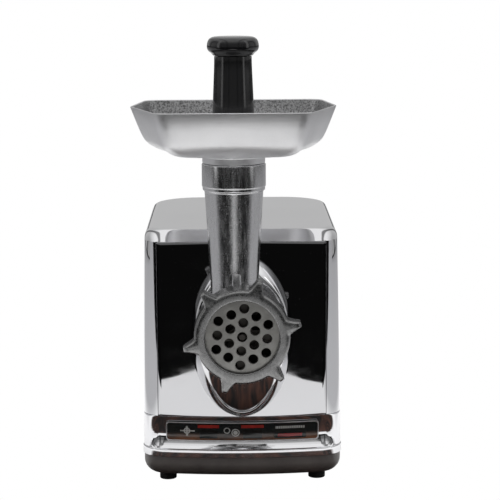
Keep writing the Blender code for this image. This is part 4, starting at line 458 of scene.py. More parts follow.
def label(finish, frame_finish):
    """Sheets on the band's hollow: a filled rounded rectangle, and a raised line round it."""
    outline = rounded_box(LABEL[0], LABEL[1], 2.6, 8, 40)
    slim = 8.4 / 62.2                      # near the edge, the ends move in about as far as the sides

    def sheet(shares, proud):
        flat = np.stack([outline * ([1 - (1 - share) * slim, share] if share > 0.6 else share)
                         for share in shares])
        x, z = flat[..., 0], flat[..., 1] + LABEL[2]
        return np.stack([x, front_depth(x, z) - band_offset(z) - FIT - proud, z], -1)

    skin("label_face", [(sheet([0.0, 0.35, 0.6, 0.8, 0.97, 1.0], 0.8), False, True)], finish, "housing",
         ["label_insert"], wall=0.8, edge=0.15)
    skin("label_line", [(sheet([0.90, 1.0], 1.05), False, True)], frame_finish, "housing", (),
         wall=0.3,
         edge=0.08)


def base_pan(finish):
    """Plans that follow a quarter circle under the pan's edge: z = bottom + r (1 - sin a),
    inset = edge + r (1 - cos a)."""
    def corner(bottom, edge, r, turns):
        return [(bottom + r * (1 - math.sin(a)), edge + r * (1 - math.cos(a))) for a in turns]

    edge, wall = 0.2, 2.5
    turns = np.linspace(0, np.pi / 2, 12)
    outside = [(PAN_TOP, edge), (PAN_TOP - 0.4, edge)] + corner(PAN_BOTTOM, edge, PAN_CORNER, turns)
    inside = corner(PAN_BOTTOM + 3, edge + wall, PAN_CORNER - wall, turns[::-1]) + [(PAN_TOP, edge + wall)]
    rows = np.stack([raised(plan(PAN_TOP, inset), z) for z, inset in outside + inside])
    outer = (rows[:len(outside)], False, True)
    inner = (rows[len(outside):], False, True)
    rim = (np.stack([rows[-1], rows[0]]), False, True)
    obj = skin("base_shell", [outer, inner, rim], finish, "housing", ["base_pan"],
               caps=[len(outside) - 1])
    bm = bmesh.new()
    bm.from_mesh(obj.data)
    bmesh.ops.holes_fill(bm, edges=[e for e in bm.edges if e.is_boundary])
    bmesh.ops.recalc_face_normals(bm, faces=bm.faces)
    bm.to_mesh(obj.data)
    bm.free()
    slots = [rounded_box(1.8, 12.0, 1.7, 4, 2) + [(i - 2.5) * 9, 190.0] for i in range(6)]
    cutters = [(slab(slot, -5.0, 14.0, "xd", 0.01), False, True, ()) for slot in slots]
    cutters += [drill((x, d), 3.9, -5, 10.5, 32, "z") for x in (-68.0, 68.0) for d in (126.0, 262.0)]
    return carve(obj, cutters, sharp=34)


def feet(finish):
    profile = soften([(0, 0), (5.2, 0), (5.8, 0.7), (6.3, 0), (7, 0.6), (7, PAN_BOTTOM - FIT - 1.4),
                      (6.4, PAN_BOTTOM - FIT), (0, PAN_BOTTOM - FIT)], 0.5, 4)
    for row, d in (("front", 107.0), ("rear", 285.0)):
        for name, side in (("left", -1), ("right", 1)):
            grid = turned(profile, (side * 61.8, d), 48, "z")
            skin(f"rubber_foot_{row}_{name}", [(grid, False, True)], finish, "housing",
                 [f"foot_{row}_{name}"])


def controls(plate_finish, button_finish, mark_finish):
    """The plate's raised rim, two dished buttons and the head release button, on the right side."""
    face = CONTROL_FACE
    outline = rounded_box(CONTROL[2], CONTROL[3], 2.0, 6, 8)
    # name, body, centre, radius, depth behind the plate's face, and the mark's radius
    buttons = (("power", "power_button", (CONTROL[0] - 14, CONTROL[1]), 8.0, 3.5, 2.6),
               ("reverse", "reverse_button", (CONTROL[0] + 14, CONTROL[1]), 6.0, 3.5, 1.9),
               ("release", "head_release", RELEASE, 8.0, 6.0, 2.6))

    def row(share, out):
        scale = 1 - (1 - share) * CONTROL[3] / np.array([CONTROL[2], CONTROL[3]])
        flat = outline * (scale if share > 0.5 else share) + [CONTROL[0], CONTROL[1]]
        return np.stack([np.full(len(flat), out), flat[:, 0], flat[:, 1]], -1)

    rows = [row(share, face - sunk) for share, sunk in ((0.0, 0.5), (0.5, 0.5), (0.88, 0.5), (0.91, 0.0),
                                                        (0.97, 0.0), (1.0, 0.4), (1.0, 2.0), (0.0, 2.0))]
    plate = skin("control_face", [(np.stack(rows), False, True)], plate_finish, "housing",
                 ["control_plate"])
    carve(plate, [drill(centre, radius + FIT, 60, 90, axis="x")
                  for _, _, centre, radius, _, _ in buttons[:2]])
    for name, body, centre, radius, depth, _ in buttons:
        top, back = face + 0.5, face - depth
        profile = soften([(0, top - 0.5), (radius * 0.45, top - 0.42), (radius - 1.4, top - 0.05),
                          (radius - 0.6, top), (radius, top - 0.6), (radius, back), (0, back)], 0.6, 4)
        skin(f"{name}_cap", [(turned(profile, centre, 64, "x"), False, True)], button_finish, body,
             [f"{name}_button"])
    for name, body, centre, _, _, radius in buttons:
        out = face + 0.06
        line = soften([(radius - 0.25, out), (radius - 0.1, out + 0.12), (radius + 0.1, out + 0.12),
                       (radius + 0.25, out), (radius + 0.1, out - 0.2),
                       (radius - 0.1, out - 0.2)], 0.05, 2, True)
        skin(f"{name}_mark", [(turned(line, centre, 48, "x"), True, True)], mark_finish, body, ())


def vent(finish):
    """A frame, and slats whose cross-section is a slanted blade carried across the opening."""
    rear = BODY_REAR - 0.8
    outer = rounded_box(VENT[0], VENT[2], 2.0, 5, 6)
    inner = rounded_box(VENT[0] - 4.5, VENT[2] - 3.5, 1.5, 5, 6)

    def ring(flat, d):
        return np.stack([flat[:, 0], np.full(len(flat), d), flat[:, 1] + VENT[1]], -1)

    rows = np.stack([ring(outer, rear - 2.4), ring(outer, rear), ring(inner, rear),
                     ring(inner, rear - 2.4)])
    rows = soften(rows, 0.5, 3, True)
    slats = []
    count = 8
    for i in range(count):
        z = VENT[1] - VENT[2] + 3.5 + (i + 0.5) * (2 * VENT[2] - 7) / count
        blade = soften([(rear - 0.5, z - 1.9), (rear - 0.2, z - 1.3), (rear - 2.0, z + 1.9),
                        (rear - 2.3, z + 1.3)],
                       0.3, 2, True)
        across = np.array([-(VENT[0] - 4), -(VENT[0] - 4.01), VENT[0] - 4.01, VENT[0] - 4])
        shrink = np.array([0.0, 1.0, 1.0, 0.0])[:, None]
        middle = blade.mean(0)
        flat = middle + (blade[None] - middle) * shrink[..., None]
        slats.append((np.stack([np.repeat(across[:, None], len(blade), 1), flat[..., 0], flat[..., 1]], -1),
                      False, True))
    skin("vent_louvres", [(rows, True, True)] + slats, finish, "housing", ["rear_vent_grille"])


def gland(finish):
    rear = BODY_REAR + 7.0
    profile = [(7, BODY_REAR - 9), (7, BODY_REAR + FIT), (10, BODY_REAR + FIT), (10, BODY_REAR + 1.6),
               (8.6, BODY_REAR + 2.2)]
    for i in range(4):
        d = BODY_REAR + 2.4 + i * 1.15
        size = 7.3 - i * 0.35
        profile += [(size, d), (size, d + 0.6), (size - 0.9, d + 0.7), (size - 0.9, d + 1.1)]
    profile += [(5.8, rear), (3.6, rear), (3.6, BODY_REAR - 9)]
    grid = turned(soften(profile, 0.2, 2, True), GLAND, 48)
    skin("cable_gland", [(grid, True, True)], finish, "housing", ["cord_gland"])


# Head -----------------------------------------------------------------------------------------

def grinder_body(finish):
    """The barrel is a turned profile. The feed tube's foot follows the barrel:
    z = axis + sqrt(R^2 - x^2), with x = feed + r cos a, and flares into it as a fillet."""
    barrel = [(31.3, 4.0), (33.4, 4.0), (34.0, 4.6), (34.0, 28.0), (BARREL + 0.2, 33.0), (BARREL, 69.7),
              (27.0, 69.7), (27.0, 84.2), (17.0, 84.2), (17.0, 78.0), (10.3, 78.0), (10.3, 72.0),
              (26.5, 72.0),
              (26.5, 8.6), (31.3, 8.6)]
    radius = [0.3, 0.4, 0.4, 3, 4, 0.6, 0.3, 0.5, 0.5, 0.3, 0.3, 0.3, 1, 0.3, 0.2]
    rows = turned(soften(barrel, radius, 4, True), (0.0, AXIS_Z), 160)
    lugs = []
    for side in (0.0, np.pi):
        a = np.linspace(side - math.radians(14), side + math.radians(14), 12)
        section = np.array([(24.0, 79.5), (30.0, 79.5), (30.0, 84.2), (24.0, 84.2)])
        wedge = np.stack([np.outer(np.cos(a), section[:, 0]), np.repeat(section[None, :, 1], 12, 0),
                          AXIS_Z + np.outer(np.sin(a), section[:, 0])], -1)
        ends = [np.repeat(wedge[i].mean(0)[None], 4, 0)[None] for i in (0, -1)]
        lugs.append((np.concatenate([ends[0], wedge, ends[1]]), False, True))
    obj = skin("grinding_barrel", [(rows, True, True)], finish, "head", ["grinder_body"])
    throat = turned([(0, AXIS_Z), (16.2, AXIS_Z), (16.2, 190), (0, 190)], FEED, 72, "z")
    carve(obj, [(throat, False, True, ())])
    skin("bayonet_lugs", lugs, finish, "head", (), edge=0.4)

    a = angles(144)
    outside = np.array([(18.9, 0.0), (18.8, 6.0), (18.95, 177.0), (23.0, 248.3), (24.4, 249.1),
                        (24.5, 251.5),
                        (25.0, 252.1), (25.0, 269.2), (24.2, 270.0), (22.2, 270.0), (22.0, 269.7),
                        (22.0, 257.7), (20.4, 257.7), (20.4, 248.8), (16.2, 177.0)])
    rounding = [0, 0, 10, 1.2, 0.6, 0.5, 0.5, 0.8, 0.8, 0.3, 0.3, 0.3, 0.3, 3, 0]

    def saddle(radius_here):
        x = FEED[0] + radius_here * np.cos(a)
        return AXIS_Z + np.sqrt(np.maximum(BARREL ** 2 - x ** 2, 0.0))

    tube = turned(soften(outside[2:], rounding[2:], 5), FEED, 144, "z")
    flare = []
    for t in np.linspace(0, 1, 12):
        grown = 18.95 + 5.0 * (1 - math.sin(t * math.pi / 2))
        lift = 6.5 * (1 - math.cos(t * math.pi / 2))
        z = np.minimum(saddle(grown) - 0.35 + lift, 176.5 + t * 0.4)
        flare.append(np.stack([FEED[0] + grown * np.cos(a), FEED[1] + grown * np.sin(a), z], -1))
    inner_foot = np.stack([FEED[0] + 16.2 * np.cos(a), FEED[1] + 16.2 * np.sin(a), saddle(16.2) - 1.0], -1)
    sunk = np.stack([FEED[0] + 18.0 * np.cos(a), FEED[1] + 18.0 * np.sin(a), saddle(18.0) - 1.2], -1)
    grid = np.concatenate([np.stack(flare), tube, inner_foot[None], sunk[None]])
    skin("feed_tube", [(grid, True, True)], finish, "head", (), sharp=30)

    u = np.linspace(-1, 1, 25)
    v = np.linspace(0, 1, 25)
    across, up = np.meshgrid(u, v)
    shape = (1 - np.abs(across) ** 3.0)
    half = 4.6 - 1.2 * up
    x = FEED[0] + 1.5 + across * half
    z = 168.0 + up * 18.0
    tube_r = 18.95 + np.clip(z - 177.0, 0, None) * 0.0567
    seat = FEED[1] - np.sqrt(tube_r ** 2 - (x - FEED[0]) ** 2)
    out = (2.6 * (1 - up ** 4) + 0.1) * np.sqrt(np.clip(shape, 0, 1)) - 0.6
    rib = np.stack([x, seat - out, z], -1)
    back = np.stack([x, seat + 1.2, z], -1)
    edge_rows = np.concatenate([rib[:, ::1], back[:, ::-1]], 1)
    cap = [np.repeat(edge_rows[i].mean(0)[None], edge_rows.shape[1], 0)[None] for i in (0, -1)]
    skin("tube_rib", [(np.concatenate([cap[0], edge_rows, cap[1]]), False, True)], finish, "head", (),
         sharp=50)


def ring_nut(finish):
    """Round the nut the radius is body + (tip - body) * reach^1.8, where reach falls straight from
    1 at a lug's tip to 0 at its foot, so a lug has hollow sides."""
    turn = angles(720)
    off = (turn - math.radians(12.0) + np.pi / 6) % (np.pi / 3) - np.pi / 6
    tip, foot = 1.8 / LUG_TIP, math.radians(10.5)
    share = np.clip((foot - np.abs(off)) / (foot - tip), 0.0, 1.0)
    lug = (LUG_TIP - NUT) * share ** 1.8

    def row(radius, d, lugs):
        r = radius + lug * lugs
        return np.stack([r * np.cos(turn), np.full(len(turn), d), AXIS_Z + r * np.sin(turn)], -1)

    levels = [(28.5, 0.5, 0), (29.1, 0.0, 0), (33.4, 0.0, 0.0), (35.3, 0.35, 0.86), (36.6, 1.7, 0.97),
              (37.0, 4.0, 1.0), (37.0, 13.5, 1.0), (37.0, 15.6, 0.9), (36.9, 17.2, 0.0), (37.0, 25.0, 0),
              (36.2, 26.0, 0), (34.3, 26.0, 0), (34.3, 3.0, 0), (28.5, 3.0, 0)]
    rounding = [0.4, 0.4, 0.8, 1.2, 1.4, 1.6, 1.5, 1.2, 0.8, 0.8, 0.6, 0.3, 0.3, 0.2]
    rows = soften(np.stack([row(*level) for level in levels]), rounding, 4, True)
    return skin("lugged_nut", [(rows, True, True)], finish, "nut", ["ring_nut"], sharp=38)


def perforated_plate(finish):
    """A disc with holes on a hexagonal net: at a * (1, 0) + b * (1/2, sqrt(3)/2), turned."""
    front, back = 3.3, 8.3
    profile = soften([(0, front), (30.5, front), (31.0, front + 0.5), (31.0, back), (0, back)], 0.3, 3)
    obj = skin("mincing_plate", [(turned(profile, (0.0, AXIS_Z), 128), False, True)], finish, "plate",
               ["perforated_plate"])
    a, b = np.meshgrid(np.arange(-2, 3), np.arange(-2, 3))
    inside = np.abs(a + b) <= 2
    x = PLATE_PITCH * (a[inside] + b[inside] / 2)
    z = PLATE_PITCH * b[inside] * math.sqrt(0.75)
    turn = math.radians(85.6)
    cutters = []
    for px, pz in zip(x * math.cos(turn) - z * math.sin(turn), x * math.sin(turn) + z * math.cos(turn)):
        hole = [(0, -5), (6.0, -5), (6.0, front - 2.1), (3.95, front), (3.65, front + 0.35),
                (3.65, back + 5),
                (0, back + 5)]
        cutters.append((turned(hole, (px, AXIS_Z + pz), 40), False, True, ()))
    return carve(obj, cutters, sharp=25)


def tray_outline(count=24):
    """A six-sided rim with a round at each corner, and points spread along the sides."""
    corners = np.array([(-58.3, -24.6), (58.3, -24.6), (80.2, 48.0), (71.1, 116.0), (-71.1, 116.0),
                        (-80.2, 48.0)]) + [FEED[0], 0.0]
    back, ahead = np.roll(corners, 1, 0) - corners, np.roll(corners, -1, 0) - corners
    one = back / np.linalg.norm(back, axis=1, keepdims=True)
    two = ahead / np.linalg.norm(ahead, axis=1, keepdims=True)
    half = np.arccos(np.sum(one * two, 1)) / 2
    radius = 13.0
    between = (one + two) / np.linalg.norm(one + two, axis=1, keepdims=True)
    middle = corners + between * (radius / np.sin(half))[:, None]
    start = corners + one * (radius / np.tan(half))[:, None] - middle
    sweep = np.pi - 2 * half
    t = np.linspace(0, 1, 9)[None, :] * sweep[:, None]
    arc_x = start[:, :1] * np.cos(t) - start[:, 1:] * np.sin(t)
    arc_d = start[:, :1] * np.sin(t) + start[:, 1:] * np.cos(t)
    arcs = middle[:, None] + np.stack([arc_x, arc_d], -1)
    ends = np.roll(arcs[:, 0], -1, 0)
    s = np.linspace(0, 1, count + 1)[1:-1][None, :, None]
    sides = arcs[:, -1:] * (1 - s) + ends[:, None] * s
    return np.concatenate([arcs, sides], 1).reshape(-1, 2)


def tray(outside, inside):
    """Rows of the rim's outline moved in towards the feed's axis, and rings round that axis."""
    outline = tray_outline() - FEED
    length = np.linalg.norm(outline, axis=1)
    way = outline / length[:, None]
    lip = 0.7                              # radius of the rim's rounded edge
    edge = TRAY_TOP - lip

    def row(z, inset):
        return raised(FEED + way * (length - inset)[:, None], z)

    def ring(z, radius):
        return raised(FEED + way * radius, z)

    under = [row(edge, 0.0), row(292.0, 8.5), row(285.5, 13.0), row(279.6, 24.0), ring(276.7, 36.5),
             ring(275.7, 24.5), ring(270.3, 24.5), ring(270.3, 21.7), ring(258.0, 21.7), ring(258.0, 20.3),
             ring(TRAY_FLOOR - 1.2, 20.3)]
    above = [ring(TRAY_FLOOR, 21.6), ring(278.7, 36.5), row(281.2, 25.4), row(287.0, 14.4), row(292.8, 9.9),
             row(edge, 2 * lip)]
    low = soften(np.stack(under), [0.3, 9, 7, 10, 10, 1.2, 0.5, 0.3, 0.3, 0.3, 0.6], 5)
    high = soften(np.stack(above), [0.6, 10, 10, 7, 9, 0.3], 5)
    top = np.stack([row(edge + lip * math.sin(t), lip - lip * math.cos(np.pi - t))
                    for t in np.linspace(0, np.pi, 6)[1:-1]])
    patches = [(low, False, True), (np.concatenate([low[-1:], high]), False, True),
               (np.concatenate([high[-1:], top, low[:1]]), False, True)]
    obj = skin("hopper_tray", patches, [outside, inside], "tray", ["tray"], sharp=40)
    normal = np.zeros(len(obj.data.polygons) * 3)
    centre = np.zeros(len(obj.data.polygons) * 3)
    obj.data.polygons.foreach_get("normal", normal)
    obj.data.polygons.foreach_get("center", centre)
    height = centre.reshape(-1, 3)[:, 2] / MM
    up = (normal.reshape(-1, 3)[:, 2] > 0.12) & (height > TRAY_FLOOR - 0.8) & (height < TRAY_TOP - 0.9)
    obj.data.polygons.foreach_set("material_index", up.astype(np.int32))
    return obj


def pusher(finish):
    neck = 353.0
    stem = [(0, 188), (14.4, 188), (15.6, 189.2), (19.0, 248.8), (19.0, 278.4), (22.0, 278.4),
            (22.0, 281.2),
            (17.7, 282.2), (16.15, 310.3), (14.6, 345.0), (14.5, neck - FIT), (12.0, neck - FIT),
            (12.0, 314),
            (13.0, 193.2), (0, 193.2)]
    rounding = [0, 2, 2, 4, 0.4, 0.5, 0.8, 1.2, 10, 6, 0.3, 0.3, 3, 3, 0]
    skin("pusher_rod", [(turned(soften(stem, rounding, 4), FEED, 96, "z"), False, True)], finish, "pusher",
         ["pusher_stem"])
    low = reach("pusher_cap", 0)[2]
    cap = [(0, low), (11.6, low), (11.6, neck), (15.2, neck), (16.4, 354.6), (19.6, 357.2), (20.25, 360.2),
           (19.4, 365.2), (16.2, 367.6), (8.0, 368.0), (0, 368.0)]
    rounding = [0, 0.3, 0.3, 0.8, 1.8, 2.4, 2.8, 3.0, 3.0, 4, 0]
    skin("pusher_knob", [(turned(soften(cap, rounding, 5), FEED, 96, "z"), False, True)], finish, "pusher",
         ["pusher_cap"])


# Finishes -------------------------------------------------------------------------------------

class Wire:
    """A node's output, on which Python's operators add Math nodes."""

    def __init__(self, tree, socket):
        self.tree, self.socket = tree, socket

    def math(self, operation, *others, clamp=False):
        node = self.tree.nodes.new("ShaderNodeMath")
        node.operation = operation
        node.use_clamp = clamp
        for place, value in enumerate(others):
            if isinstance(value, Wire):
                self.tree.links.new(value.socket, node.inputs[place])
            else:
                node.inputs[place].default_value = value
        return Wire(self.tree, node.outputs[0])

    def __add__(self, other):
        return self.math("ADD", self, other)

    __radd__ = __add__

    def __sub__(self, other):
        return self.math("SUBTRACT", self, other)

    def __rsub__(self, other):
        return self.math("SUBTRACT", other, self)

    def __mul__(self, other):
        return self.math("MULTIPLY", self, other)

    __rmul__ = __mul__

    def __pow__(self, other):
        return self.math("POWER", self, other)

    def __abs__(self):
        return self.math("ABSOLUTE", self)

    def sine(self):
        return self.math("SINE", self)

    def fraction(self):
        return self.math("FRACT", self)

    def clamped(self):
        return self.math("ADD", self, 0.0, clamp=True)

    def most(self, other):
        return self.math("MAXIMUM", self, other)

    def step(self, low, high):
        """0 below low, 1 above high, and a straight run between."""
        return ((self - low) * (1.0 / (high - low))).clamped()


class Graph:
    """A node tree, and short ways to add to it."""

    def __init__(self, tree):
        self.tree = tree

    def node(self, kind, settings=None, inputs=None, output=0):
        """Any node: its settings first, then the values or links of its sockets."""
        node = self.tree.nodes.new("ShaderNode" + kind)
        for key, value in (settings or {}).items():
            setattr(node, key, value)
        for key, value in (inputs or {}).items():
            if isinstance(value, Wire):
                self.tree.links.new(value.socket, node.inputs[key])
            else:
                node.inputs[key].default_value = value
        return Wire(self.tree, node.outputs[output])

    def place(self, stretch=(1.0, 1.0, 1.0), middle=(0.0, 0.0, 0.0)):
        """Object coordinates from a middle, stretched along each axis."""
        at = self.node("TexCoord", output="Object")
        offset = tuple(-m * s for m, s in zip(middle, stretch))
        return self.node("Mapping", {}, {"Vector": at, "Location": offset, "Scale": stretch})

    def axes(self, vector):
        node = self.tree.nodes.new("ShaderNodeSeparateXYZ")
        self.tree.links.new(vector.socket, node.inputs[0])
        return [Wire(self.tree, out) for out in node.outputs]

    def noise(self, vector, scale, detail=3.0, rough=0.55):
        return self.node("TexNoise", {}, {"Vector": vector, "Scale": scale, "Detail": detail,
                                          "Roughness": rough})

    def mix(self, share, one, two):
        one, two = (colour if isinstance(colour, Wire) else (*colour, 1.0) for colour in (one, two))
        return self.node("Mix", {"data_type": "RGBA"}, {0: share, 6: one, 7: two}, 2)


class Finish(Graph):
    """A material and its Principled shader."""

    def __init__(self, name, **sockets):
        self.material = bpy.data.materials.new(name)
        self.material.use_nodes = True
        super().__init__(self.material.node_tree)
        self.shader = self.tree.nodes["Principled BSDF"]
        self.put(**sockets)

    def put(self, **sockets):
        """Sets or links the shader's sockets: base_color is "Base Color"."""
        for key, value in sockets.items():
            socket = self.shader.inputs[key.replace("_", " ").title()]
            if isinstance(value, Wire):
                self.tree.links.new(value.socket, socket)
            else:
                socket.default_value = value

    def bump(self, height, strength, distance):
        self.put(normal=self.node("Bump", {}, {"Height": height, "Strength": strength,
                                               "Distance": distance}))
        return self.material


def tinted(colour, factor):
    return tuple(min(channel * factor, 1.0) for channel in colour)


def plated(name, colour, roughness):
    """Bright plating: faint wiping marks in its roughness and a very slight ripple."""
    f = Finish(name, metallic=1.0)
    wipe = f.noise(f.place((1.0, 1.0, 3.0)), 38.0, 5.0, 0.6)
    cloud = f.noise(f.place(), 9.0, 2.0)
    f.put(base_color=f.mix(cloud.step(0.3, 0.7), tinted(colour, 0.94), colour),
          roughness=roughness + wipe.step(0.45, 0.8) * 0.05)
    ripple = f.noise(f.place((1.0, 1.0, 0.25)), 26.0, 1.0)
    return f.bump(ripple, 0.25, 0.0006)


def cast(name, colour, roughness, streak=(1.0, 1.0, 0.12), grain=0.5, dark=0.45):
    """Polished casting: fine pits, long polishing streaks and darker cloudy patches."""
    f = Finish(name, metallic=1.0)
    lines = f.noise(f.place(streak), 420.0, 3.0, 0.6)
    broad = f.noise(f.place(streak), 60.0, 3.0, 0.6)
    pits = f.noise(f.place(), 900.0, 2.0, 0.7)
    cloud = f.noise(f.place((1.0, 1.0, 0.6)), 34.0, 4.0, 0.6)
    tone = f.mix(broad.step(0.36, 0.66), tinted(colour, dark), colour)
    tone = f.mix(cloud.step(0.52, 0.78) * 0.35, tone, tinted(colour, 0.6))
    f.put(base_color=tone, roughness=roughness + lines.step(0.35, 0.75) * 0.14 + pits.step(0.55,
                                                                                           0.8) * 0.10)
    return f.bump(lines * 0.4 + pits * 0.6, grain, 0.00025)


def brushed(name, colour, roughness, middle=None):
    """Ground steel: lines along one way, or rings round a middle where one is given."""
    f = Finish(name, metallic=1.0)
    if middle:
        x, y, z = f.axes(f.place((1.0, 1.0, 1.0), middle))
        radius = (x * x + z * z) ** 0.5
        coordinate = f.node("CombineXYZ", {}, {"X": radius, "Y": y * 0.02, "Z": 0.0})
        lines = f.noise(coordinate, 2600.0, 2.0, 0.6)
    else:
        lines = f.noise(f.place((1.0, 0.05, 1.0)), 900.0, 3.0, 0.6)
    stain = f.noise(f.place(), 70.0, 4.0, 0.6)
    f.put(base_color=f.mix(stain.step(0.35, 0.7), tinted(colour, 0.72), colour),
          roughness=roughness + lines.step(0.3, 0.75) * 0.16)
    return f.bump(lines, 0.3, 0.0002)


def stamped(name, colour, roughness, speckle):
    """Stamped sheet: satin rolling lines, or with speckle a coarse grey grain."""
    f = Finish(name, metallic=1.0)
    grain = f.noise(f.place(), 700.0, 2.0, 0.75)
    lines = f.noise(f.place((0.06, 1.0, 1.0)), 520.0, 3.0, 0.6)
    cloud = f.noise(f.place(), 22.0, 3.0)
    tone = f.mix(cloud.step(0.3, 0.75), tinted(colour, 0.9), colour)
    if speckle:
        tone = f.mix(grain.step(0.42, 0.62), tone, tinted(colour, 0.35))
    f.put(base_color=tone, roughness=roughness + grain.step(0.4, 0.7) * (0.25 if speckle else 0.10))
    return f.bump(grain * (0.9 if speckle else 0.3) + lines * 0.3, 0.35, 0.0003)


def moulded(name, colour, roughness, texture, coat=0.0):
    """Moulded plastic: a fine leathery texture, slight sheen changes and pale dust in cloudy patches."""
    f = Finish(name, metallic=0.0, coat_weight=coat, coat_roughness=0.08)
    fine = f.node("TexVoronoi", {"feature": "SMOOTH_F1"}, {"Vector": f.place(), "Scale": 1300.0})
    cloud = f.noise(f.place(), 45.0, 4.0, 0.6)
    smear = f.noise(f.place((1.0, 1.0, 2.5)), 90.0, 5.0, 0.65)
    f.put(base_color=f.mix(cloud.step(0.35, 0.75), colour, tinted(colour, 1.35)),
          roughness=roughness + smear.step(0.45, 0.8) * 0.10)
    return f.bump(fine * texture + smear * 0.15, 0.25, 0.0003)


def printed_label(name):
    """A dark printed strip: red bars, dark windows, plain blocks and two pairs of disc pictograms.
    Its lower part turns brown in cloudy patches, a painted reflection.
    """
    f = Finish(name, roughness=0.22, coat_weight=0.4, coat_roughness=0.05)
    x, _, z = f.axes(f.place((1000.0, 1000.0, 1000.0), (PIVOT[0], PIVOT[1], 0.0)))

    def bar(left, right, low, high, soft=0.12):
        across = (x - left).step(-soft, soft) * (right - x).step(-soft, soft)
        return across * (z - low).step(-soft, soft) * (high - z).step(-soft, soft)

    def disc(at_x, at_z, radius, width):
        away = ((x - at_x) ** 2.0 + (z - at_z) ** 2.0) ** 0.5
        return 1.0 - (abs(away - radius) - width).step(-0.1, 0.15)

    cloud = f.noise(f.place((60.0, 60.0, 60.0)), 1.0, 4.0)
    # Painted reflection: brown cloudy patches over the strip's lower part, on the dark print.
    ground = f.mix((44.5 - z).step(0.0, 5.0) * cloud.step(0.2, 0.8), (0.012, 0.016, 0.016),
                   (0.23, 0.085, 0.035))
    red = bar(-36.5, -19.0, 48.6, 51.4).most(bar(-1.0, 17.5, 48.6, 51.4))
    tone = f.mix(red * cloud.step(0.1, 0.6), ground, (0.42, 0.030, 0.022))
    windows = bar(-35.0, -20.5, 39.6, 46.8).most(bar(0.5, 16.0, 39.6, 46.8)).most(bar(26.0, 52.0, 39.4,
                                                                                      44.6))
    tone = f.mix(windows, tone, (0.006, 0.008, 0.008))
    glow = bar(29.0, 49.0, 40.6, 43.2) * cloud.step(0.3, 0.7)
    tone = f.mix(glow, tone, (0.5, 0.02, 0.02))
    marks = disc(-12.6, 46.4, 2.3, 0.35).most(disc(-5.6, 44.6, 2.9, 0.35)).most(disc(-5.6, 44.6, 0.9, 0.9))
    blade = bar(-51.0, -39.0, 45.4, 46.4).most(bar(-46.2, -44.6, 41.6, 50.2)).most(disc(-45.4, 45.9, 2.2,
                                                                                        0.5))
    plain = bar(27.0, 51.0, 47.6, 49.9) * (x * 0.55).fraction().step(0.22, 0.34)
    tone = f.mix(marks.most(blade).most(plain) * 0.85, tone, (0.60, 0.60, 0.58))
    f.put(base_color=tone)
    return f.bump(cloud, 0.05, 0.0001)


def stacked(name, colour):
    """Stacked sheets: thin dark gaps along the motor's length."""
    f = Finish(name, metallic=1.0)
    _, y, _ = f.axes(f.place())
    gap = (y * 2000.0).fraction()
    rust = f.noise(f.place(), 120.0, 4.0)
    f.put(base_color=f.mix(gap.step(0.7, 0.9), colour, tinted(colour, 0.3)), roughness=0.35 + rust * 0.2)
    return f.bump(gap, 0.4, 0.0002)


def wound(name, colour):
    """Windings: rows of round wire."""
    f = Finish(name, metallic=0.85, coat_weight=0.3)
    x, y, z = f.axes(f.place())
    turn = ((x + z + y * 0.4) * 7000.0).sine()
    patch = f.noise(f.place(), 90.0, 3.0)
    f.put(base_color=f.mix(patch.step(0.3, 0.8), colour, tinted(colour, 0.6)), roughness=0.3 + patch * 0.2)
    return f.bump(turn, 0.5, 0.0003)


def circuit(name, colour):
    """A board: pale copper tracks under green lacquer."""
    f = Finish(name, roughness=0.35, coat_weight=0.5)
    x, y, _ = f.axes(f.place())
    along, across = abs((x * 1900.0).sine()).step(0.9, 0.97), abs((y * 1500.0).sine()).step(0.94, 0.98)
    track = along.most(across)
    patch = f.noise(f.place(), 200.0, 2.0)
    f.put(base_color=f.mix(track * patch.step(0.4, 0.6), colour, (0.35, 0.42, 0.2)))
    return f.bump(track, 0.2, 0.0002)


# Sizes and colours a user would change ---------------------------------------------------------

def colour_setting(name, description, default):
    return bpy.props.FloatVectorProperty(name=name, description=description, size=3, subtype="COLOR", min=0,
                                         max=1, default=default)


class GrinderFinishes(bpy.types.PropertyGroup):
    chrome: colour_setting("Chrome", "Colour of the plated housing", (0.80, 0.80, 0.815))
    chrome_roughness: bpy.props.FloatProperty(name="Chrome roughness", description="Blur of the plating",
                                              subtype="FACTOR", min=0, max=1, default=0.045)
    panel: colour_setting("Front panel", "Colour of the mirror panel", (0.60, 0.60, 0.615))
    casting: colour_setting("Casting", "Colour of barrel and feed tube", (0.64, 0.64, 0.65))
    nut: colour_setting("Ring nut", "Colour of the ring nut", (0.27, 0.27, 0.27))
    plate: colour_setting("Plate", "Colour of the mincing plate", (0.33, 0.325, 0.31))
    tray: colour_setting("Tray", "Colour of the tray", (0.80, 0.80, 0.81))
    base: colour_setting("Base", "Colour of the base pan", (0.125, 0.113, 0.107))


class GrinderStage(bpy.types.PropertyGroup):
    key_power: bpy.props.FloatProperty(name="Key light", description="Power of the light overhead",
                                       unit="POWER", min=0, default=30.0)
    strip_power: bpy.props.FloatProperty(name="Side strips", description="Power of each side strip",
                                         unit="POWER", min=0, default=1.6)
    floor_front: bpy.props.FloatProperty(name="Floor in front",
                                         description="Reach of the pale floor in front",
                                         unit="LENGTH", min=0, default=0.858)
    lens: bpy.props.FloatProperty(name="Lens", description="Focal length in millimetres", min=1,
                                  default=130.0)


# Operators ------------------------------------------------------------------------------------

MADE = {}


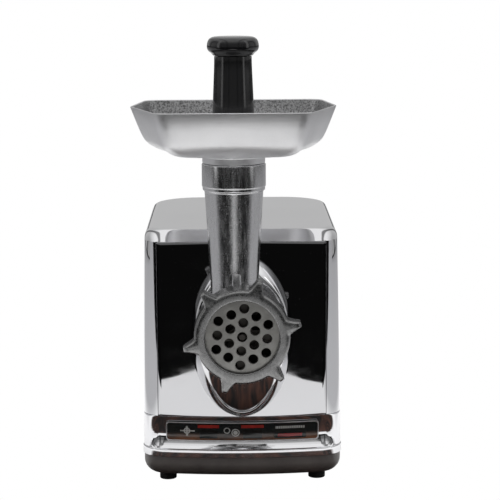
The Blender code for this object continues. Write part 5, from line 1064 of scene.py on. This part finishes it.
class GRINDER_OT_finishes(bpy.types.Operator):
    """Makes every finish and gives the hidden pieces theirs"""
    bl_idname = "grinder.finishes"
    bl_label = "Finishes"

    def execute(self, context):
        p = context.scene.grinder_finishes
        axis = tuple(PIVOT)
        MADE.update(
            chrome=plated("bright_chrome", tuple(p.chrome), p.chrome_roughness),
            panel=plated("mirror_chrome", tuple(p.panel), 0.02),
            casting=cast("polished_casting", tuple(p.casting), 0.18, (1.0, 1.0, 0.12), 0.03, 0.90),
            nut=cast("satin_casting", tuple(p.nut), 0.21, (1.0, 1.0, 1.0), 0.06, 0.85),
            plate=brushed("plate_steel", tuple(p.plate), 0.32, axis),
            steel=brushed("machined_steel", (0.50, 0.49, 0.47), 0.25),
            blade=brushed("blackened_steel", (0.07, 0.065, 0.06), 0.45),
            tray=stamped("tray_outside", tuple(p.tray), 0.42, False),
            tray_inside=stamped("tray_inside", tinted(tuple(p.tray), 0.75), 0.38, True),
            base=moulded("base_plastic", tuple(p.base), 0.42, 0.5, 0.1),
            gloss=moulded("gloss_black_plastic", (0.012, 0.012, 0.013), 0.16, 0.04, 0.5),
            plastic=moulded("satin_black_plastic", (0.028, 0.028, 0.028), 0.45, 0.6),
            rubber=moulded("foot_rubber", (0.018, 0.018, 0.018), 0.72, 0.9),
            nylon=moulded("nylon", (0.74, 0.71, 0.63), 0.45, 0.3),
            label=printed_label("printed_label"),
            stack=stacked("motor_stack", (0.28, 0.28, 0.30)),
            copper=wound("enamelled_copper", (0.70, 0.31, 0.15)),
            board=circuit("circuit_board", (0.03, 0.17, 0.07)),
        )
        by_slot = {"steel": "steel", "cast_metal": "casting", "lamination": "stack", "copper": "copper",
                   "nylon": "nylon", "board_green": "board", "black_plastic": "plastic",
                   "black_gloss": "gloss",
                   "rubber": "rubber", "chrome": "chrome", "mirror_panel": "panel", "label_black": "label",
                   "dark_plastic": "base", "nut_metal": "nut", "plate_steel": "plate", "tray_metal": "tray"}
        slots = {part["node"]: part["material_slot"] for part in frame["record"]["subparts"]}
        for name, obj in frame["nodes"].items():
            obj.data.materials.clear()
            inner = name in ("cutting_blade", "auger")
            obj.data.materials.append(MADE["blade" if inner else by_slot[slots[name]]])
        return {"FINISHED"}


class GRINDER_OT_housing(bpy.types.Operator):
    """Builds the chromed shell and its base pan"""
    bl_idname = "grinder.housing"
    bl_label = "Housing and base"

    def execute(self, context):
        housing_shell(MADE["chrome"])
        base_pan(MADE["base"])
        feet(MADE["rubber"])
        return {"FINISHED"}


class GRINDER_OT_front(bpy.types.Operator):
    """Builds the mirror panel, the oval bulge, the lower band and its label"""
    bl_idname = "grinder.front"
    bl_label = "Front"

    def execute(self, context):
        front_panel(MADE["panel"])
        escutcheon(MADE["chrome"])
        front_band(MADE["chrome"])
        label(MADE["label"], MADE["tray"])
        return {"FINISHED"}


class GRINDER_OT_controls(bpy.types.Operator):
    """Builds the control plate and the three buttons"""
    bl_idname = "grinder.controls"
    bl_label = "Controls"

    def execute(self, context):
        controls(MADE["plastic"], MADE["gloss"], MADE["tray"])
        return {"FINISHED"}


class GRINDER_OT_rear(bpy.types.Operator):
    """Builds the vent's louvres and the cable gland"""
    bl_idname = "grinder.rear"
    bl_label = "Rear"

    def execute(self, context):
        vent(MADE["plastic"])
        gland(MADE["plastic"])
        return {"FINISHED"}


class GRINDER_OT_head(bpy.types.Operator):
    """Builds the barrel, its feed tube, the ring nut and the plate"""
    bl_idname = "grinder.head"
    bl_label = "Grinding head"

    def execute(self, context):
        grinder_body(MADE["casting"])
        ring_nut(MADE["nut"])
        perforated_plate(MADE["plate"])
        return {"FINISHED"}


class GRINDER_OT_tray(bpy.types.Operator):
    """Builds the hopper tray"""
    bl_idname = "grinder.tray"
    bl_label = "Tray"

    def execute(self, context):
        tray(MADE["tray"], MADE["tray_inside"])
        return {"FINISHED"}


class GRINDER_OT_pusher(bpy.types.Operator):
    """Builds the pusher's rod and knob"""
    bl_idname = "grinder.pusher"
    bl_label = "Pusher"

    def execute(self, context):
        pusher(MADE["gloss"])
        return {"FINISHED"}


class GRINDER_OT_stage(bpy.types.Operator):
    """Sets the floor, the surroundings, the lights and the camera"""
    bl_idname = "grinder.stage"
    bl_label = "Stage"

    def execute(self, context):
        settings = context.scene.grinder_stage
        scene = context.scene
        scene.view_settings.view_transform = "Standard"
        self.floor(scene, settings.floor_front)
        self.surroundings(scene)
        self.light("key", (0.0, -0.1, 2.0), (0.0, 0.0, 0.1), (1.7, 1.7), settings.key_power, False)
        self.light("left_strip", (-1.5, -0.7, 0.8), (0.0, 0.0, 0.15), (0.35, 1.6), settings.strip_power)
        self.light("right_strip", (1.5, -0.7, 0.8), (0.0, 0.0, 0.15), (0.35, 1.6), settings.strip_power)
        data = bpy.data.cameras.new("camera")
        data.lens = settings.lens
        data.sensor_width = 36.0
        camera = bpy.data.objects.new("camera", data)
        scene.collection.objects.link(camera)
        turn = (Matrix.Rotation(math.radians(CAMERA_YAW), 4, "Z")
                @ Matrix.Rotation(math.radians(90.0 + CAMERA_PITCH), 4, "X")
                @ Matrix.Rotation(math.radians(CAMERA_ROLL), 4, "Z"))
        camera.matrix_world = Matrix.Translation(CAMERA) @ turn
        scene.camera = camera
        return {"FINISHED"}

    def floor(self, scene, reach_ahead):
        """A pale sheet whose front edge is a parabola with straight ends, so that the bowed panel
        shows it level. It is plain white to the camera. Every other ray sees a painted shadow of the
        machine on it: dark, with brown streaks, in an ellipse close in front of the machine. Far to
        the sides those rays see it grey, painted shade. Both show in the chrome and darken the
        bounced light."""
        middle = PIVOT[1] + PANEL_EDGE * MM
        x = np.linspace(-FLOOR_HALF, FLOOR_HALF, 65)
        edge = np.stack([x, middle - reach_ahead + FLOOR_CURVE * x ** 2, 0.0 * x], -1)
        end = edge[0, 1]
        outline = [(-4.0, end, 0.0)] + edge.tolist() + [(4.0, end, 0.0), (4.0, 5.0, 0.0), (-4.0, 5.0, 0.0)]
        mesh = bpy.data.meshes.new("studio_floor")
        mesh.from_pydata(outline, [], [list(range(len(outline)))])
        obj = bpy.data.objects.new("studio_floor", mesh)
        scene.collection.objects.link(obj)
        f = Finish("studio_white", roughness=0.9)
        across, _, _ = f.axes(f.place())
        # Painted shade: the floor turns grey far to the sides, for every ray but the camera's.
        pale = f.mix(abs(across).step(0.24, 0.36), (0.93, 0.93, 0.93), (0.42, 0.42, 0.43))
        # Painted shadow of the machine: dark, with brown streaks painted in for the chrome to reflect, in an
        # ellipse in front.
        x, y, _ = f.axes(f.place((5.0, 11.8, 1.0), (0.0, middle - 0.045, 0.0)))
        near = 1.0 - ((x * x + y * y) ** 0.5).step(0.85, 1.0)
        streak = f.noise(f.place((1.0, 0.1, 1.0)), 60.0, 2.0)
        f.put(base_color=f.mix(near, pale, f.mix(streak.step(0.4, 0.65), (0.012, 0.010, 0.010),
                                                               (0.075, 0.034, 0.024))))
        glow = f.node("Emission", {}, {"Color": (1.0, 1.0, 1.0, 1.0), "Strength": 1.0})
        to_camera = f.node("LightPath", output="Is Camera Ray")
        shown = f.node("MixShader", {}, {0: to_camera, 1: Wire(f.tree, f.shader.outputs[0]), 2: glow})
        f.tree.links.new(shown.socket, f.tree.nodes["Material Output"].inputs["Surface"])
        obj.data.materials.append(f.material)

    def light(self, name, at, towards, size, power, glossy=True):
        data = bpy.data.lights.new(name, "AREA")
        data.shape = "RECTANGLE"
        data.size, data.size_y = size
        data.energy = power
        lamp = bpy.data.objects.new(name, data)
        bpy.context.scene.collection.objects.link(lamp)
        lamp.location = at
        way = Vector([b - a for a, b in zip(at, towards)])
        lamp.rotation_euler = way.to_track_quat("-Z", "Y").to_euler()
        lamp.visible_camera = False
        lamp.visible_glossy = glossy

    def surroundings(self, scene):
        """White to the camera. Reflections see a grey ceiling, a dark room ahead and bright sides."""
        world = bpy.data.worlds.new("studio")
        scene.world = world
        world.use_nodes = True
        f = Graph(world.node_tree)
        x, y, z = f.axes(f.node("TexCoord", output="Generated"))
        ahead = (0.0 - y).step(0.05, 0.45) * (1.0 - z.step(0.30, 0.62))
        side = abs(x).step(0.55, 0.85) * (1.0 - z.step(0.5, 0.9))
        gaps = abs(abs(x) - 0.42).step(0.03, 0.06) * abs(abs(x) - 0.88).step(0.02, 0.05)
        below = (0.0 - z).step(0.0, 0.02)
        up = z.step(0.55, 0.80)
        grey = (0.52 - side * 0.14 + up * 0.45) * (1.0 - ahead * 0.70) * (1.0 - below * 0.97) * (0.25 + gaps * 0.75)
        seen = f.node("LightPath", output="Is Camera Ray")
        strength = seen + (1.0 - seen) * grey
        background = f.tree.nodes["Background"]
        background.inputs["Color"].default_value = (1.0, 1.0, 1.0, 1.0)
        f.tree.links.new(strength.socket, background.inputs["Strength"])


PIECES = (GRINDER_OT_finishes, GRINDER_OT_housing, GRINDER_OT_front, GRINDER_OT_controls, GRINDER_OT_rear,
          GRINDER_OT_head, GRINDER_OT_tray, GRINDER_OT_pusher, GRINDER_OT_stage)


class GRINDER_PT_panel(bpy.types.Panel):
    """Lists the operators and the sizes and colours"""
    bl_idname = "GRINDER_PT_panel"
    bl_label = "Meat Grinder"
    bl_space_type = "VIEW_3D"
    bl_region_type = "UI"
    bl_category = "Grinder"

    def draw(self, context):
        for group in (context.scene.grinder_finishes, context.scene.grinder_stage):
            for name in group.__annotations__:
                self.layout.prop(group, name)
        for operator in PIECES:
            self.layout.operator(operator.bl_idname)


CLASSES = (GrinderFinishes, GrinderStage, *PIECES, GRINDER_PT_panel)


def register():
    for one in CLASSES:
        bpy.utils.register_class(one)
    bpy.types.Scene.grinder_finishes = bpy.props.PointerProperty(type=GrinderFinishes)
    bpy.types.Scene.grinder_stage = bpy.props.PointerProperty(type=GrinderStage)


def unregister():
    del bpy.types.Scene.grinder_stage
    del bpy.types.Scene.grinder_finishes
    for one in reversed(CLASSES):
        bpy.utils.unregister_class(one)


def main():
    register()
    for operator in PIECES:
        group, name = operator.bl_idname.split(".")
        if getattr(getattr(bpy.ops, group), name)() != {"FINISHED"}:
            raise RuntimeError(f"{operator.bl_label} did not finish")


if __name__ == "__main__":
    main()
